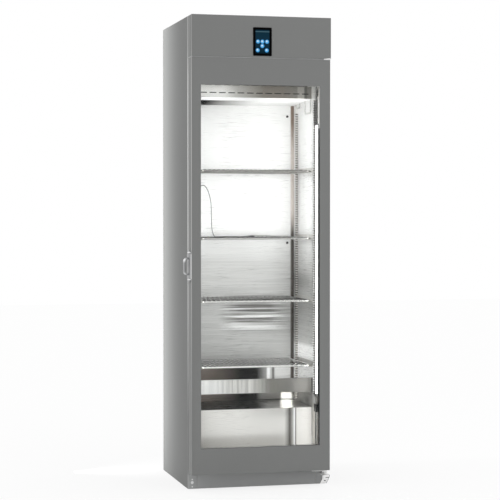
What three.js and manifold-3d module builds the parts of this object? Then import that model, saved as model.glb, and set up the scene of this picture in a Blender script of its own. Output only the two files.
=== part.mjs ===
// Dry aging cabinet: a tall glass-door refrigerator with wire shelves and a cooling unit on top.
// Millimetres. X runs to the right, Y to the back and Z up.
// The origin is on the floor, under the middle of the cabinet's body.
import * as THREE from 'three';
import Module from 'manifold-3d';
import { mergeVertices } from 'three/addons/utils/BufferGeometryUtils.js';

const wasm = await Module();
wasm.setup();

// Body
const cabinetWidth = 600;
const cabinetHeight = 1980;
const bodyDepth = 536;
const sheet = 1.2;
const heavySheet = 3;
const seatGap = 0.3;
const cutOverrun = 2;
const sideWall = 42;
const backWall = 50;
const bendRadius = 3;
const bendSteps = 3;
const rearReturn = 20;
const machineHeight = 172;
const basePanSheet = 1.5;
const roofSheet = 1.5;

// Chamber
const coolingDepth = 126;
const coveRadius = 12;
const coveSteps = 5;
const baseSetback = 60;
const deckHeight = 323;
const deflectorSetback = 45;
const deflectorLift = 68;
const deflectorHeight = 59;
const deflectorReturn = 15;

// Slotted air duct under the ceiling
const ductSetback = 40;
const ductDrop = 113.2;
const ductFall = 12;
const slotLength = 30;
const slotHeight = 4;
const slotPitch = 40.5;
const slotRowLift = 19.5;
const slotRowStep = 33;

// Toothed racks
const toothPitch = 10.25;
const toothDepth = 5;
const rackSheet = 1.5;
const rackLeg = 12;
const rackFoot = 20;
const rackEndMargin = 2;
const frontRackSetback = 2;
const rearRackGap = 77;
const frontRackLift = 53.2;
const rackStaggerTeeth = 4;

// Runners
const runnerSheet = 1.5;
const ledgeWidth = 20;
const runnerUpstand = 22;
const tabReach = 1;
const tabPlay = 1.2;
const tabWidth = 7;

// Shelves, with the share of the racks' teeth below each one, from the top shelf down
const shelfShares = [0.757, 0.529, 0.318, 0.098];
const shelfSetback = 10;
const shelfRearGap = 15;
const shelfPlay = 1.5;
const rodDiameter = 8;
const rodCorner = 16;
const rodSides = 8;
const rodCornerSteps = 3;
const wireDiameter = 3.4;
const wirePitch = 20;
const wireSides = 6;
const crossBarDiameter = 5;
const crossBarShares = [0.33, 0.67];
const weldSink = 0.5;

// Cradles for hanging bars: where the legs stand behind the body's front or ahead of the rear panel
const hangerDiameter = 5;
const hangerSides = 6;
const hangerWallGap = 5;
const frontHangerStart = 65;
const frontHangerEnd = 150;
const frontHangerDrop = 58;
const rearHangerReach = 125;
const rearHangerGap = 65;
const rearHangerDrop = 20;
const hangerCorner = 8;
const hangerKneeShare = 0.29;

// Door
const doorSideGap = 3;
const doorFront = 81.2;
const gasketDepth = 16;
const doorLift = 69.2;
const doorTopGap = 4.8;
const doorSheet = 1.5;
const windowLeftStile = 39.2;
const windowRightStile = 45.2;
const windowTopRail = 111.4;
const windowBottomRail = 108.5;
const revealStep = 3;
const glassLap = 12;
const paneThickness = 4;
const spacerDepth = 12;
const spacerWidth = 10;
const gasketInset = 9.2;
const gasketWidth = 20;
const gasketBaseDepth = 6;
const gasketBulbWidth = 14;

// Door lighting
const lampLowGap = 209.3;
const lampTopGap = 157.8;
const lampThickness = 3.2;
const lampDepth = 38;
const lampSetback = 2;
const connectorLowGap = 139.3;
const connectorHeight = 32;
const connectorThickness = 10;

// Door hinges
const hingeInset = 10.2;
const hingeSetback = 48;
const pinDiameter = 8;
const pinPlay = 0.3;
const pinSides = 16;
const pinEntry = 14;
const pinHoleMargin = 1.5;
const bracketWidth = 29;
const bracketInset = 1;
const bracketReach = 72;
const bracketPlate = 4;
const bracketArmTop = 48;
const bracketFoot = 5;
const gussetDepth = 18;
const topBracketLift = 3;
const topBracketLeaf = 38;
const bushDiameter = 14;
const closerPlateLength = 68;
const closerPlateWidth = 24;
const closerPlateThickness = 5;
const closerPlateInset = 4;

// Handle on the free side of the door
const handleMiddle = 937;
const handleHeight = 126;
const handleWidth = 58;
const handleThickness = 8;
const handleBevel = 2;
const handleBevelSteps = 1;
const handleCorner = 20;
const handleCornerSteps = 4;
const handleFrontInset = 3;
const gripHeight = 74;
const gripReach = 24;
const gripWidth = 22;
const gripThickness = 7;
const gripCorner = 12;
const gripEdge = 2.4;
const gripSteps = 18;
const gripEdgeSteps = 1;

// Control fascia and touch display
const fasciaSheet = 1.5;
const displayWidth = 80;
const displayHeight = 118;
const displayCentre = 1.5;
const displayLift = 6;
const displayProud = 2;
const displayBorder = 10;
const displayDepth = 30;
const screenRecess = 0.5;

// Fans
const evaporatorFanSize = 92;
const evaporatorFanDepth = 25;
const evaporatorFanSpread = 120;
const condenserFanSize = 150;
const condenserFanDepth = 38;
const fanWall = 3;
const fanTipPlay = 2.5;
const fanSides = 28;
const motorShare = 0.42;
const hubShare = 0.4;
const strutWidth = 5;
const strutDepth = 4;
const motorDepthShare = 0.3;
const bladeCount = 5;
const bladeThickness = 2;
const bladePitch = 0.6;
const rotorFrontPlay = 2;

// Cooling unit
const compressorRadius = 76;
const potSides = 20;
const compressorHeight = 142;
const compressorSideGap = 35;
const compressorY = 30;
const compressorPlateWidth = 190;
const compressorPlateDepth = 130;
const compressorPlateThickness = 3;
const grommetDiameter = 18;
const grommetHeight = 9;
const grommetInset = 14;
const condenserFreeWidth = 340;
const condenserDepth = 56;
const condenserHeight = 150;
const condenserSideGap = 40;
const condenserBackGap = 20;
const evaporatorSideGap = 47.7;
const evaporatorDepth = 80;
const evaporatorHeight = 270;
const evaporatorDrop = 433.2;
const finCount = 14;
const finDepth = 12;
const finShare = 0.35;
const trayHeight = 24;
const trayMargin = 12;
const traySheet = 1.5;

// Rear grille of the machine compartment
const grilleSlotGap = 25;
const grilleSlotHeight = 6;
const grilleRows = 7;
const grilleRowPitch = 19;
const grilleColumns = 4;
const grillePitchShare = 0.225;

// Core probe, in its park position on the second shelf
const probeSetback = 78;
const glandLift = 211.6;
const glandDiameter = 14;
const glandReach = 12;
const glandSides = 12;
const cableDiameter = 3;
const cableSides = 8;
const cableSteps = 56;
const bootDiameter = 7;
const bootLength = 24;
const probeDiameter = 8;
const probeLength = 70;
const needleDiameter = 4;
const needleLength = 80;
const needlePoint = 11;
const probeSides = 12;
// X, Y and Z of the lead from the gland's end, then X, Y and lift above the wires where it lies
const probeWander = [
  [0, 0, 0], [8, 0, 1.6], [18, 0, 5.6], [28, 0, 8.6], [37, 0, 4.8], [43.5, 0, -4], [49, 0, -14],
  [53, 0, -25], [58, 0, -42], [62, 0.5, -63], [64, 1, -88], [65, 1.5, -118], [65.5, 2, -148],
  [67, 3, -173], [71, 4.5, -192],
];
const probeSlack = [
  [80, 7, 1.2], [94, 12, 0], [110, 19, 0], [127, 24, 0], [144, 25, 0], [160, 20, 0],
  [172, 12, 0], [182, 4, 0], [192, -3, 0], [203, -8, 0.6], [214, -10, 1.9], [224, -10, 2.5],
];

// Places worked out from the sizes above
const front = -bodyDepth / 2;
const back = bodyDepth / 2;
const halfWidth = cabinetWidth / 2;
const innerHalf = halfWidth - sideWall;
const linerHalf = innerHalf - seatGap;
const machineDeckTop = cabinetHeight - machineHeight;
const doorTop = machineDeckTop - doorTopGap;
const chamberFloor = doorLift + sideWall;
const chamberCeiling = doorTop - sideWall;
const skinFront = front + bendRadius;
const linerBack = back - backWall;
const chamberDepth = bodyDepth - backWall - coolingDepth;
const ductPanelFront = front + chamberDepth;
const ductBottom = chamberCeiling - ductDrop;
const slotCount = Math.floor((2 * linerHalf) / slotPitch);
const deflectorBottom = deckHeight + deflectorLift;
const frontRackBottom = deckHeight + frontRackLift;
const toothCount = Math.floor((ductBottom - frontRackBottom - 2 * rackEndMargin) / toothPitch);
const shelfTeeth = shelfShares.map((share) => Math.round(share * toothCount));
const shelfDepth = chamberDepth - shelfSetback - shelfRearGap;
const frontRackY = front + frontRackSetback;
const rearRackY = ductPanelFront - rearRackGap;
const rackTip = linerHalf - rackLeg;
const shelfHalf = rackTip - shelfPlay;
const doorBackY = front - gasketDepth;
const doorFrontY = front - doorFront;
const doorLeft = -halfWidth;
const doorRight = halfWidth - doorSideGap;
const hingeX = doorRight - hingeInset;
const hingeY = front - hingeSetback;
const windowLeft = doorLeft + windowLeftStile;
const windowRight = doorRight - windowRightStile;
const windowBottom = doorLift + windowBottomRail;
const windowTop = doorTop - windowTopRail;
const evaporatorWidth = 2 * (linerHalf - evaporatorSideGap);
const evaporatorBottom = chamberCeiling - evaporatorDrop;
const condenserWidth = cabinetWidth - condenserFreeWidth;
const condenserX = halfWidth - condenserSideGap - condenserWidth / 2;
const compressorX = -halfWidth + compressorSideGap + compressorPlateWidth / 2;
const grilleColumnPitch = grillePitchShare * cabinetWidth;
const grilleSlotLength = grilleColumnPitch - grilleSlotGap;
const probeY = front + probeSetback;
const outerPaneFront = doorFrontY + doorSheet + seatGap;
const spacerFront = outerPaneFront + paneThickness + seatGap;
const innerPaneFront = spacerFront + spacerDepth + seatGap;
const revealFront = innerPaneFront + paneThickness + seatGap;

const painted = { color: 0x7b7d7c, roughness: 0.5, metalness: 0.1 };
const polished = { color: 0xd6d6d4, roughness: 0.18, metalness: 1 };
const brushed = { color: 0xc9c8c4, roughness: 0.35, metalness: 1 };
const galvanised = { color: 0xb4b8ba, roughness: 0.5, metalness: 0.9 };
const wireSteel = { color: 0xdcdcdc, roughness: 0.15, metalness: 1 };
const foam = { color: 0xe6dcae, roughness: 0.95, metalness: 0 };
const glass = { color: 0xeaf2f2, roughness: 0.03, metalness: 0, transparent: true, opacity: 0.2 };
const spacerMetal = { color: 0x24262a, roughness: 0.5, metalness: 0.3 };
const rubber = { color: 0x8a8c8c, roughness: 0.8, metalness: 0 };
const lampWhite = { color: 0xffffff, roughness: 0.4, metalness: 0 };
const blackPlastic = { color: 0x141416, roughness: 0.4, metalness: 0 };
const screenGlass = { color: 0x10283c, roughness: 0.1, metalness: 0 };
const zinc = { color: 0xc4c6c8, roughness: 0.4, metalness: 0.9 };
const satinMetal = { color: 0xa9abac, roughness: 0.35, metalness: 0.8 };
const blackEnamel = { color: 0x1c1c1e, roughness: 0.35, metalness: 0.2 };
const finAluminium = { color: 0xb9bcbe, roughness: 0.4, metalness: 0.9 };

const cabinet = new THREE.Group();

// Adds a named piece to a group, the cabinet unless another one is given.
function addPiece(name, geometry, look, group = cabinet) {
  const mesh = new THREE.Mesh(geometry, new THREE.MeshStandardMaterial(look));
  mesh.name = name;
  group.add(mesh);
  return mesh;
}

// A box between two corners.
function box(low, high) {
  const size = high.map((value, axis) => value - low[axis]);
  const geometry = new THREE.BoxGeometry(...size);
  geometry.translate(...high.map((value, axis) => (value + low[axis]) / 2));
  return geometry;
}

function outline(points) {
  return new THREE.Shape(points.map(([u, v]) => new THREE.Vector2(u, v)));
}

// Prisms of an outline: its two coordinates are X and Y, Y and Z, or X and Z.
function prismAlongZ(shape, from, to, options = {}) {
  const geometry = new THREE.ExtrudeGeometry(shape, { depth: to - from, bevelEnabled: false, ...options });
  geometry.translate(0, 0, from);
  return geometry;
}

function prismAlongX(shape, from, to, options = {}) {
  const geometry = prismAlongZ(shape, from, to, options);
  geometry.rotateX(Math.PI / 2);
  geometry.rotateZ(Math.PI / 2);
  return geometry;
}

function prismAlongY(shape, from, to, options = {}) {
  const geometry = prismAlongZ(shape, -to, -from, options);
  geometry.rotateX(Math.PI / 2);
  return geometry;
}

// Moves a piece built along Y from the origin onto the line between two points.
function layAlong(geometry, start, end) {
  const along = new THREE.Vector3(...end).sub(new THREE.Vector3(...start)).normalize();
  const turn = new THREE.Quaternion().setFromUnitVectors(new THREE.Vector3(0, 1, 0), along);
  geometry.applyQuaternion(turn);
  geometry.translate(...start);
  return geometry;
}

function lengthBetween(start, end) {
  return new THREE.Vector3(...start).distanceTo(new THREE.Vector3(...end));
}

// A round bar between two points. Its section is turned by half a side, so that a level bar has flats
// above and below.
function bar(start, end, diameter, sides) {
  const length = lengthBetween(start, end);
  const radius = diameter / 2;
  const geometry = new THREE.CylinderGeometry(radius, radius, length, sides, 1, false, Math.PI / sides);
  geometry.translate(0, length / 2, 0);
  return layAlong(geometry, start, end);
}

function positionsOnly(geometry) {
  const bare = new THREE.BufferGeometry();
  const source = geometry.index ? geometry.toNonIndexed() : geometry;
  bare.setAttribute('position', source.getAttribute('position').clone());
  return bare;
}

function toSolid(geometry) {
  const merged = mergeVertices(positionsOnly(geometry));
  const vertProperties = new Float32Array(merged.getAttribute('position').array);
  const triVerts = new Uint32Array(merged.index.array);
  return new wasm.Manifold(new wasm.Mesh({ numProp: 3, vertProperties, triVerts }));
}

function toGeometry(solid) {
  const mesh = solid.getMesh();
  const geometry = new THREE.BufferGeometry();
  geometry.setAttribute('position', new THREE.BufferAttribute(new Float32Array(mesh.vertProperties), 3));
  geometry.setIndex([...mesh.triVerts]);
  return geometry;
}

function join(...geometries) {
  return toGeometry(geometries.map(toSolid).reduce((sum, solid) => sum.add(solid)));
}

function cut(geometry, ...tools) {
  return toGeometry(tools.map(toSolid).reduce((rest, tool) => rest.subtract(tool), toSolid(geometry)));
}

// A rectangle with rounded corners, about its middle.
function roundedRectangle(width, height, radius, steps) {
  const points = [];
  for (let corner = 0; corner < 4; corner += 1) {
    const signX = corner === 0 || corner === 3 ? 1 : -1;
    const signY = corner < 2 ? 1 : -1;
    for (let step = 0; step <= steps; step += 1) {
      const angle = (corner + step / steps) * Math.PI / 2;
      points.push([
        signX * (width / 2 - radius) + radius * Math.cos(angle),
        signY * (height / 2 - radius) + radius * Math.sin(angle),
      ]);
    }
  }
  return points;
}

// A flat ring in the plane of the door: X and Z limits of its outside and its opening.
function frameRing(outer, opening, from, to) {
  const shape = outline([
    [outer.left, outer.bottom], [outer.right, outer.bottom],
    [outer.right, outer.top], [outer.left, outer.top],
  ]);
  shape.holes.push(outline([
    [opening.left, opening.bottom], [opening.left, opening.top],
    [opening.right, opening.top], [opening.right, opening.bottom],
  ]));
  return prismAlongY(shape, from, to);
}

function inset(frame, distance) {
  return {
    left: frame.left + distance,
    right: frame.right - distance,
    bottom: frame.bottom + distance,
    top: frame.top - distance,
  };
}

function circle(radius, sides, x = 0, y = 0) {
  const points = [];
  for (let side = 0; side < sides; side += 1) {
    const angle = (2 * Math.PI * side) / sides;
    points.push([x + radius * Math.cos(angle), y + radius * Math.sin(angle)]);
  }
  return outline(points);
}

// Outer casing

// One sheet bent round the side of the body: a front return for the door seal and a narrow rear return.
function sidePanel(side) {
  const plan = [];
  const outerRadius = bendRadius;
  const innerRadius = bendRadius - sheet;
  for (let step = 0; step <= bendSteps; step += 1) {
    const angle = (step / bendSteps) * Math.PI / 2;
    plan.push([
      halfWidth - outerRadius + outerRadius * Math.sin(angle),
      front + outerRadius - outerRadius * Math.cos(angle),
    ]);
  }
  plan.push([halfWidth, back]);
  plan.push([halfWidth - rearReturn, back]);
  plan.push([halfWidth - rearReturn, back - sheet]);
  plan.push([halfWidth - sheet, back - sheet]);
  for (let step = bendSteps; step >= 0; step -= 1) {
    const angle = (step / bendSteps) * Math.PI / 2;
    plan.push([
      halfWidth - outerRadius + innerRadius * Math.sin(angle),
      front + outerRadius - innerRadius * Math.cos(angle),
    ]);
  }
  plan.push([innerHalf, front + sheet]);
  plan.push([innerHalf, front]);
  return prismAlongZ(outline(plan.map(([x, y]) => [side * x, y])), 0, cabinetHeight);
}

function addCasing() {
  addPiece('side_panel_left', sidePanel(-1), painted);
  addPiece('side_panel_right', sidePanel(1), painted);
  const panelHalf = halfWidth - sheet - seatGap;
  const panelBack = back - sheet - seatGap;
  addPiece('back_panel', box(
    [-panelHalf, panelBack - sheet, basePanSheet + seatGap],
    [panelHalf, panelBack, machineDeckTop - seatGap],
  ), galvanised);
  addPiece('base_pan', basePan(panelHalf, panelBack), painted);
  addPiece('machine_deck', box(
    [-panelHalf, skinFront, machineDeckTop - sheet],
    [panelHalf, panelBack - sheet - seatGap, machineDeckTop],
  ), galvanised);
  addPiece('top_cover', topCover(panelHalf, panelBack), painted);
}

// Floor sheet whose front edge is offset forward and turned up as the plinth under the door.
function basePan(panelHalf, panelBack) {
  const floor = box(
    [-panelHalf, skinFront, 0],
    [panelHalf, panelBack, basePanSheet],
  );
  const tongue = box([-linerHalf, front, 0], [linerHalf, skinFront + sheet, basePanSheet]);
  const plinth = box([-linerHalf, front, 0], [linerHalf, front + sheet, chamberFloor]);
  return join(floor, tongue, plinth);
}

// Roof sheet whose rear edge is turned down as the grille of the machine compartment.
function topCover(panelHalf, panelBack) {
  const low = machineDeckTop + seatGap;
  const panelFront = panelBack - sheet;
  const roof = box(
    [-panelHalf, skinFront, cabinetHeight - roofSheet],
    [panelHalf, panelBack, cabinetHeight],
  );
  const plate = box([-panelHalf, panelFront, low], [panelHalf, panelBack, cabinetHeight]);
  const middle = (low + cabinetHeight - roofSheet) / 2;
  const slots = [];
  for (let row = 0; row < grilleRows; row += 1) {
    const z = middle + (row - (grilleRows - 1) / 2) * grilleRowPitch;
    for (let column = 0; column < grilleColumns; column += 1) {
      const x = (column - (grilleColumns - 1) / 2) * grilleColumnPitch;
      slots.push(box(
        [x - grilleSlotLength / 2, panelFront - cutOverrun, z - grilleSlotHeight / 2],
        [x + grilleSlotLength / 2, panelBack + cutOverrun, z + grilleSlotHeight / 2],
      ));
    }
  }
  return cut(join(roof, plate), ...slots);
}

// Insulated box

function addInsulatedBox() {
  const skinHalf = halfWidth - sheet - seatGap;
  const foamBack = back - 2 * (sheet + seatGap) - seatGap;
  const cavityHalf = innerHalf + sheet + seatGap;
  const outer = box(
    [-skinHalf, skinFront, basePanSheet + seatGap],
    [skinHalf, foamBack, machineDeckTop - sheet - seatGap],
  );
  const cavity = box(
    [-cavityHalf, front - cutOverrun, chamberFloor - sheet - seatGap],
    [cavityHalf, linerBack + sheet + seatGap, chamberCeiling + sheet + seatGap],
  );
  addPiece('foam_body', cut(outer, cavity), foam);
  const linerFront = front + sheet + seatGap;
  for (const [name, side] of [['liner_left', -1], ['liner_right', 1]]) {
    const faces = [side * innerHalf, side * (innerHalf + sheet)].sort((a, b) => a - b);
    addPiece(name, box(
      [faces[0], linerFront, chamberFloor],
      [faces[1], linerBack, chamberCeiling],
    ), polished);
  }
  addPiece('liner_floor', box(
    [-linerHalf, linerFront, chamberFloor - sheet],
    [linerHalf, linerBack, chamberFloor],
  ), polished);
  addPiece('liner_back', box(
    [-linerHalf, linerBack, chamberFloor + seatGap],
    [linerHalf, linerBack + sheet, chamberCeiling - seatGap],
  ), polished);
  addPiece('liner_ceiling', linerCeiling(linerFront), polished);
}

// The ceiling's front edge turns up to close the front of the insulation above the door opening.
function linerCeiling(linerFront) {
  const top = machineDeckTop - sheet - seatGap;
  const side = outline([
    [front, chamberCeiling], [linerBack, chamberCeiling],
    [linerBack, chamberCeiling + sheet], [front + sheet, chamberCeiling + sheet],
    [front + sheet, top], [front, top],
  ]);
  return prismAlongX(side, -linerHalf, linerHalf);
}

// Chamber fittings

// The rear wall: a panel whose vertical edges turn forward on a radius, with two fan openings at the top.
function backDuctPanel() {
  const inside = [];
  const outside = [];
  const centreX = linerHalf - coveRadius;
  const centreY = ductPanelFront - coveRadius;
  for (let step = 0; step <= coveSteps; step += 1) {
    const angle = (step / coveSteps) * Math.PI / 2;
    const reach = coveRadius - sheet;
    outside.push([centreX + coveRadius * Math.cos(angle), centreY + coveRadius * Math.sin(angle)]);
    inside.push([centreX + reach * Math.cos(angle), centreY + reach * Math.sin(angle)]);
  }
  const mirror = (points) => points.map(([x, y]) => [-x, y]).reverse();
  const plan = [...outside, ...mirror(outside), ...mirror(inside).reverse(), ...inside.reverse()];
  const panel = prismAlongZ(outline(plan), chamberFloor + seatGap, chamberCeiling - seatGap);
  const openings = [-1, 1].map((side) => bar(
    [side * evaporatorFanSpread, ductPanelFront - cutOverrun - coveRadius, fanCentreZ()],
    [side * evaporatorFanSpread, ductPanelFront + cutOverrun, fanCentreZ()],
    evaporatorFanSize - 2 * fanWall,
    fanSides,
  ));
  return cut(panel, ...openings);
}

function fanCentreZ() {
  return (ductBottom + chamberCeiling) / 2;
}

// Slotted front and sloping underside of the air duct, one bent sheet with four cradles welded under it.
function airDuctCover() {
  const frontY = front + ductSetback;
  const rearY = ductPanelFront - sheet - seatGap;
  const top = chamberCeiling - seatGap;
  const side = outline([
    [frontY, ductBottom], [rearY, ductBottom - ductFall],
    [rearY, ductBottom - ductFall + sheet], [frontY + sheet, ductBottom + sheet],
    [frontY + sheet, top], [frontY, top],
  ]);
  const cover = prismAlongX(side, -linerHalf, linerHalf);
  const slots = [];
  for (let row = 0; row < 2; row += 1) {
    const z = ductBottom + slotRowLift + row * slotRowStep;
    for (let slot = 0; slot < slotCount - row; slot += 1) {
      const x = (slot - (slotCount - row - 1) / 2) * slotPitch;
      slots.push(box(
        [x - slotLength / 2, frontY - cutOverrun, z - slotHeight / 2],
        [x + slotLength / 2, frontY + cutOverrun + sheet, z + slotHeight / 2],
      ));
    }
  }
  return join(cut(cover, ...slots, ...coveNotches(ductBottom)), ...hangers());
}

function airDeflector() {
  const faceY = front + deflectorSetback;
  const top = deflectorBottom + deflectorHeight;
  const side = outline([
    [faceY, deflectorBottom], [faceY + deflectorReturn, deflectorBottom],
    [faceY + deflectorReturn, deflectorBottom + sheet], [faceY + sheet, deflectorBottom + sheet],
    [faceY + sheet, top - sheet], [faceY + deflectorReturn, top - sheet],
    [faceY + deflectorReturn, top], [faceY, top],
  ]);
  return prismAlongX(side, -linerHalf, linerHalf);
}

function baseCover() {
  const faceY = front + baseSetback;
  const rearY = ductPanelFront - sheet - seatGap;
  const foot = chamberFloor + seatGap;
  const side = outline([
    [faceY, foot], [faceY + sheet, foot],
    [faceY + sheet, deckHeight - sheet], [rearY, deckHeight - sheet],
    [rearY, deckHeight], [faceY, deckHeight],
  ]);
  return cut(prismAlongX(side, -linerHalf, linerHalf), ...coveNotches(deckHeight));
}

// Rear corners that a sheet at the given height loses to the rounded edges of the rear wall.
function coveNotches(level) {
  const start = linerHalf - coveRadius - seatGap;
  const reach = ductFall + sheet + cutOverrun;
  return [-1, 1].map((side) => {
    const faces = [side * start, side * (linerHalf + cutOverrun)].sort((a, b) => a - b);
    return box(
      [faces[0], ductPanelFront - coveRadius - seatGap, level - reach],
      [faces[1], ductPanelFront + cutOverrun, level + reach],
    );
  });
}

// A saw-toothed strip that stands off the wall on a flat foot. Each tooth has a level upper edge.
function rack(side) {
  const root = rackTip + toothDepth;
  const points = [[linerHalf, 0]];
  points.push([root, 0]);
  for (let tooth = 0; tooth < toothCount; tooth += 1) {
    const level = rackEndMargin + tooth * toothPitch;
    points.push([rackTip, level]);
    points.push([root, level]);
  }
  const top = rackEndMargin + toothCount * toothPitch;
  points.push([rackTip, top]);
  points.push([linerHalf, top]);
  const leg = prismAlongY(outline(points.map(([x, z]) => [side * x, z])), 0, rackSheet);
  const faces = [side * (linerHalf - rackSheet), side * linerHalf].sort((a, b) => a - b);
  const foot = box([faces[0], 0, 0], [faces[1], rackFoot, top]);
  return join(leg, foot);
}

function toothLevel(tooth) {
  return frontRackBottom + rackEndMargin + tooth * toothPitch;
}

function addRacks() {
  const rearBottom = frontRackBottom - rackStaggerTeeth * toothPitch;
  for (const [sideName, side] of [['left', -1], ['right', 1]]) {
    const frontRack = addPiece(`rack_front_${sideName}`, rack(side), brushed);
    frontRack.position.set(0, frontRackY, frontRackBottom);
    const rearRack = addPiece(`rack_rear_${sideName}`, rack(side), brushed);
    rearRack.position.set(0, rearRackY, rearBottom);
  }
}

// An angle strip between the two racks, with a tab at each end that rests on a tooth.
function runner(side) {
  const bodyFront = frontRackY + rackSheet + seatGap;
  const bodyRear = rearRackY - seatGap;
  const outerX = linerHalf - rackSheet - seatGap;
  const innerX = outerX - ledgeWidth;
  const tabOuter = rackTip + toothDepth - tabPlay;
  const tabInner = tabOuter - tabWidth;
  const tabFront = frontRackY - tabReach;
  const tabRear = rearRackY + rackSheet + tabReach;
  const footEnd = frontRackY + rackFoot + seatGap;
  const upstandX = outerX - runnerSheet;
  const plan = [
    [innerX, bodyFront], [tabInner, bodyFront], [tabInner, tabFront], [tabOuter, tabFront],
    [tabOuter, bodyFront], [outerX, bodyFront], [outerX, bodyRear], [tabOuter, bodyRear],
    [tabOuter, tabRear], [tabInner, tabRear], [tabInner, bodyRear], [innerX, bodyRear],
  ];
  const ledge = prismAlongZ(outline(plan.map(([x, y]) => [side * x, y])), 0, runnerSheet);
  const faces = [side * upstandX, side * outerX].sort((a, b) => a - b);
  const upstand = box([faces[0], footEnd, 0], [faces[1], bodyRear, runnerUpstand]);
  return join(ledge, upstand);
}

function addRunners() {
  for (const [sideName, side] of [['left', -1], ['right', 1]]) {
    shelfTeeth.forEach((tooth, index) => {
      const strip = addPiece(`runner_${sideName}_${index + 1}`, runner(side), brushed);
      strip.position.set(0, 0, toothLevel(tooth) + seatGap);
    });
  }
}

// Wire shelf about its own middle: a rounded perimeter rod, two cross bars and wires welded on top.
function wireShelf() {
  const centreWidth = 2 * shelfHalf - rodDiameter;
  const centreLength = shelfDepth - rodDiameter;
  const path = roundedRectangle(centreWidth, centreLength, rodCorner, rodCornerSteps);
  const upward = new THREE.Vector3(0, 0, 1);
  const frame = rodThrough(path.map(([x, y]) => [x, y, 0]), upward, rodDiameter, rodSides, true);
  const bars = crossBarShares.map((share) => {
    const y = (share - 1 / 2) * centreLength;
    return bar([-centreWidth / 2, y, 0], [centreWidth / 2, y, 0], crossBarDiameter, rodSides);
  });
  const wires = [];
  const wireZ = rodTop() - weldSink + wireHalfHeight();
  const wireSpan = centreWidth - rodDiameter;
  const wireCount = 2 * Math.floor(wireSpan / wirePitch / 2) + 1;
  for (let wire = 0; wire < wireCount; wire += 1) {
    const x = (wire - (wireCount - 1) / 2) * wirePitch;
    wires.push(bar([x, -centreLength / 2, wireZ], [x, centreLength / 2, wireZ], wireDiameter, wireSides));
  }
  return join(frame, ...bars, ...wires);
}

// The rod's and the wires' flats face up and down, so their height is less than their diameter.
function rodTop() {
  return (rodDiameter / 2) * Math.cos(Math.PI / rodSides);
}

function wireHalfHeight() {
  return (wireDiameter / 2) * Math.cos(Math.PI / wireSides);
}

// A rod of round section through the points of a flat path, whose plane has the given normal.
function rodThrough(points, normal, diameter, sides, closed) {
  const count = points.length;
  const radius = diameter / 2;
  const path = points.map((point) => new THREE.Vector3(...point));
  const rings = path.map((point, index) => {
    const before = closed || index > 0 ? path[(index + count - 1) % count] : point;
    const after = closed || index < count - 1 ? path[(index + 1) % count] : point;
    const arriving = point.clone().sub(before).normalize();
    const leaving = after.clone().sub(point).normalize();
    const heading = arriving.clone().add(leaving).normalize();
    const across = heading.clone().cross(normal);
    const mitre = heading.dot(index < count - 1 || closed ? leaving : arriving);
    const ring = [];
    for (let side = 0; side < sides; side += 1) {
      const angle = ((side + 1 / 2) * 2 * Math.PI) / sides;
      const corner = point.clone();
      corner.addScaledVector(across, (radius * Math.cos(angle)) / mitre);
      corner.addScaledVector(normal, radius * Math.sin(angle));
      ring.push(corner.toArray());
    }
    return ring;
  });
  const positions = [];
  const spans = closed ? count : count - 1;
  for (let index = 0; index < spans; index += 1) {
    const ring = rings[index];
    const next = rings[(index + 1) % count];
    for (let side = 0; side < sides; side += 1) {
      const other = (side + 1) % sides;
      positions.push(...ring[side], ...next[side], ...next[other]);
      positions.push(...ring[side], ...next[other], ...ring[other]);
    }
  }
  if (!closed) {
    const last = rings[count - 1];
    for (let side = 1; side < sides - 1; side += 1) {
      positions.push(...rings[0][0], ...rings[0][side], ...rings[0][side + 1]);
      positions.push(...last[0], ...last[side + 1], ...last[side]);
    }
  }
  const geometry = new THREE.BufferGeometry();
  geometry.setAttribute('position', new THREE.BufferAttribute(new Float32Array(positions), 3));
  return geometry;
}

function shelfLevel(tooth) {
  return toothLevel(tooth) + seatGap + runnerSheet + seatGap + rodTop();
}

function addShelves() {
  shelfTeeth.forEach((tooth, index) => {
    const shelf = addPiece(`shelf_${index + 1}`, wireShelf(), wireSteel);
    shelf.position.set(0, front + shelfSetback + shelfDepth / 2, shelfLevel(tooth));
  });
}

// U-shaped cradles for hanging bars, close to each side wall.
function hangers() {
  const cradles = [];
  for (const side of [-1, 1]) {
    const x = side * (linerHalf - hangerWallGap);
    cradles.push(hanger(x, frontHangerStart, frontHangerEnd, frontHangerDrop));
    cradles.push(hanger(x, chamberDepth - rearHangerReach, chamberDepth - rearHangerGap, rearHangerDrop));
  }
  return cradles;
}

function hanger(x, startSetback, endSetback, drop) {
  const ductRun = ductPanelFront - sheet - seatGap - front - ductSetback;
  const underside = (setback) => ductBottom - (ductFall * (setback - ductSetback)) / ductRun;
  const startTop = underside(startSetback) + sheet / 2;
  const endTop = underside(endSetback) + sheet / 2;
  const bottom = underside(startSetback) - drop;
  const at = (setback, z) => [x, front + setback, z];
  const knee = hangerCorner * hangerKneeShare;
  const points = [
    at(startSetback, startTop), at(startSetback, bottom + hangerCorner),
    at(startSetback + knee, bottom + knee), at(startSetback + hangerCorner, bottom),
    at(endSetback - hangerCorner, bottom), at(endSetback - knee, bottom + knee),
    at(endSetback, bottom + hangerCorner), at(endSetback, endTop),
  ];
  return rodThrough(points, new THREE.Vector3(1, 0, 0), hangerDiameter, hangerSides, false);
}

function tubeAlong(path, diameter, sides, steps) {
  return new THREE.ExtrudeGeometry(circle(diameter / 2, sides), {
    steps, extrudePath: path, bevelEnabled: false,
  });
}

function addChamberFittings() {
  addPiece('back_duct_panel', backDuctPanel(), polished);
  addPiece('air_duct_cover', airDuctCover(), brushed);
  addPiece('air_deflector', airDeflector(), brushed);
  addPiece('base_cover', baseCover(), brushed);
  addRacks();
  addRunners();
  addShelves();
}

// Door

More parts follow.
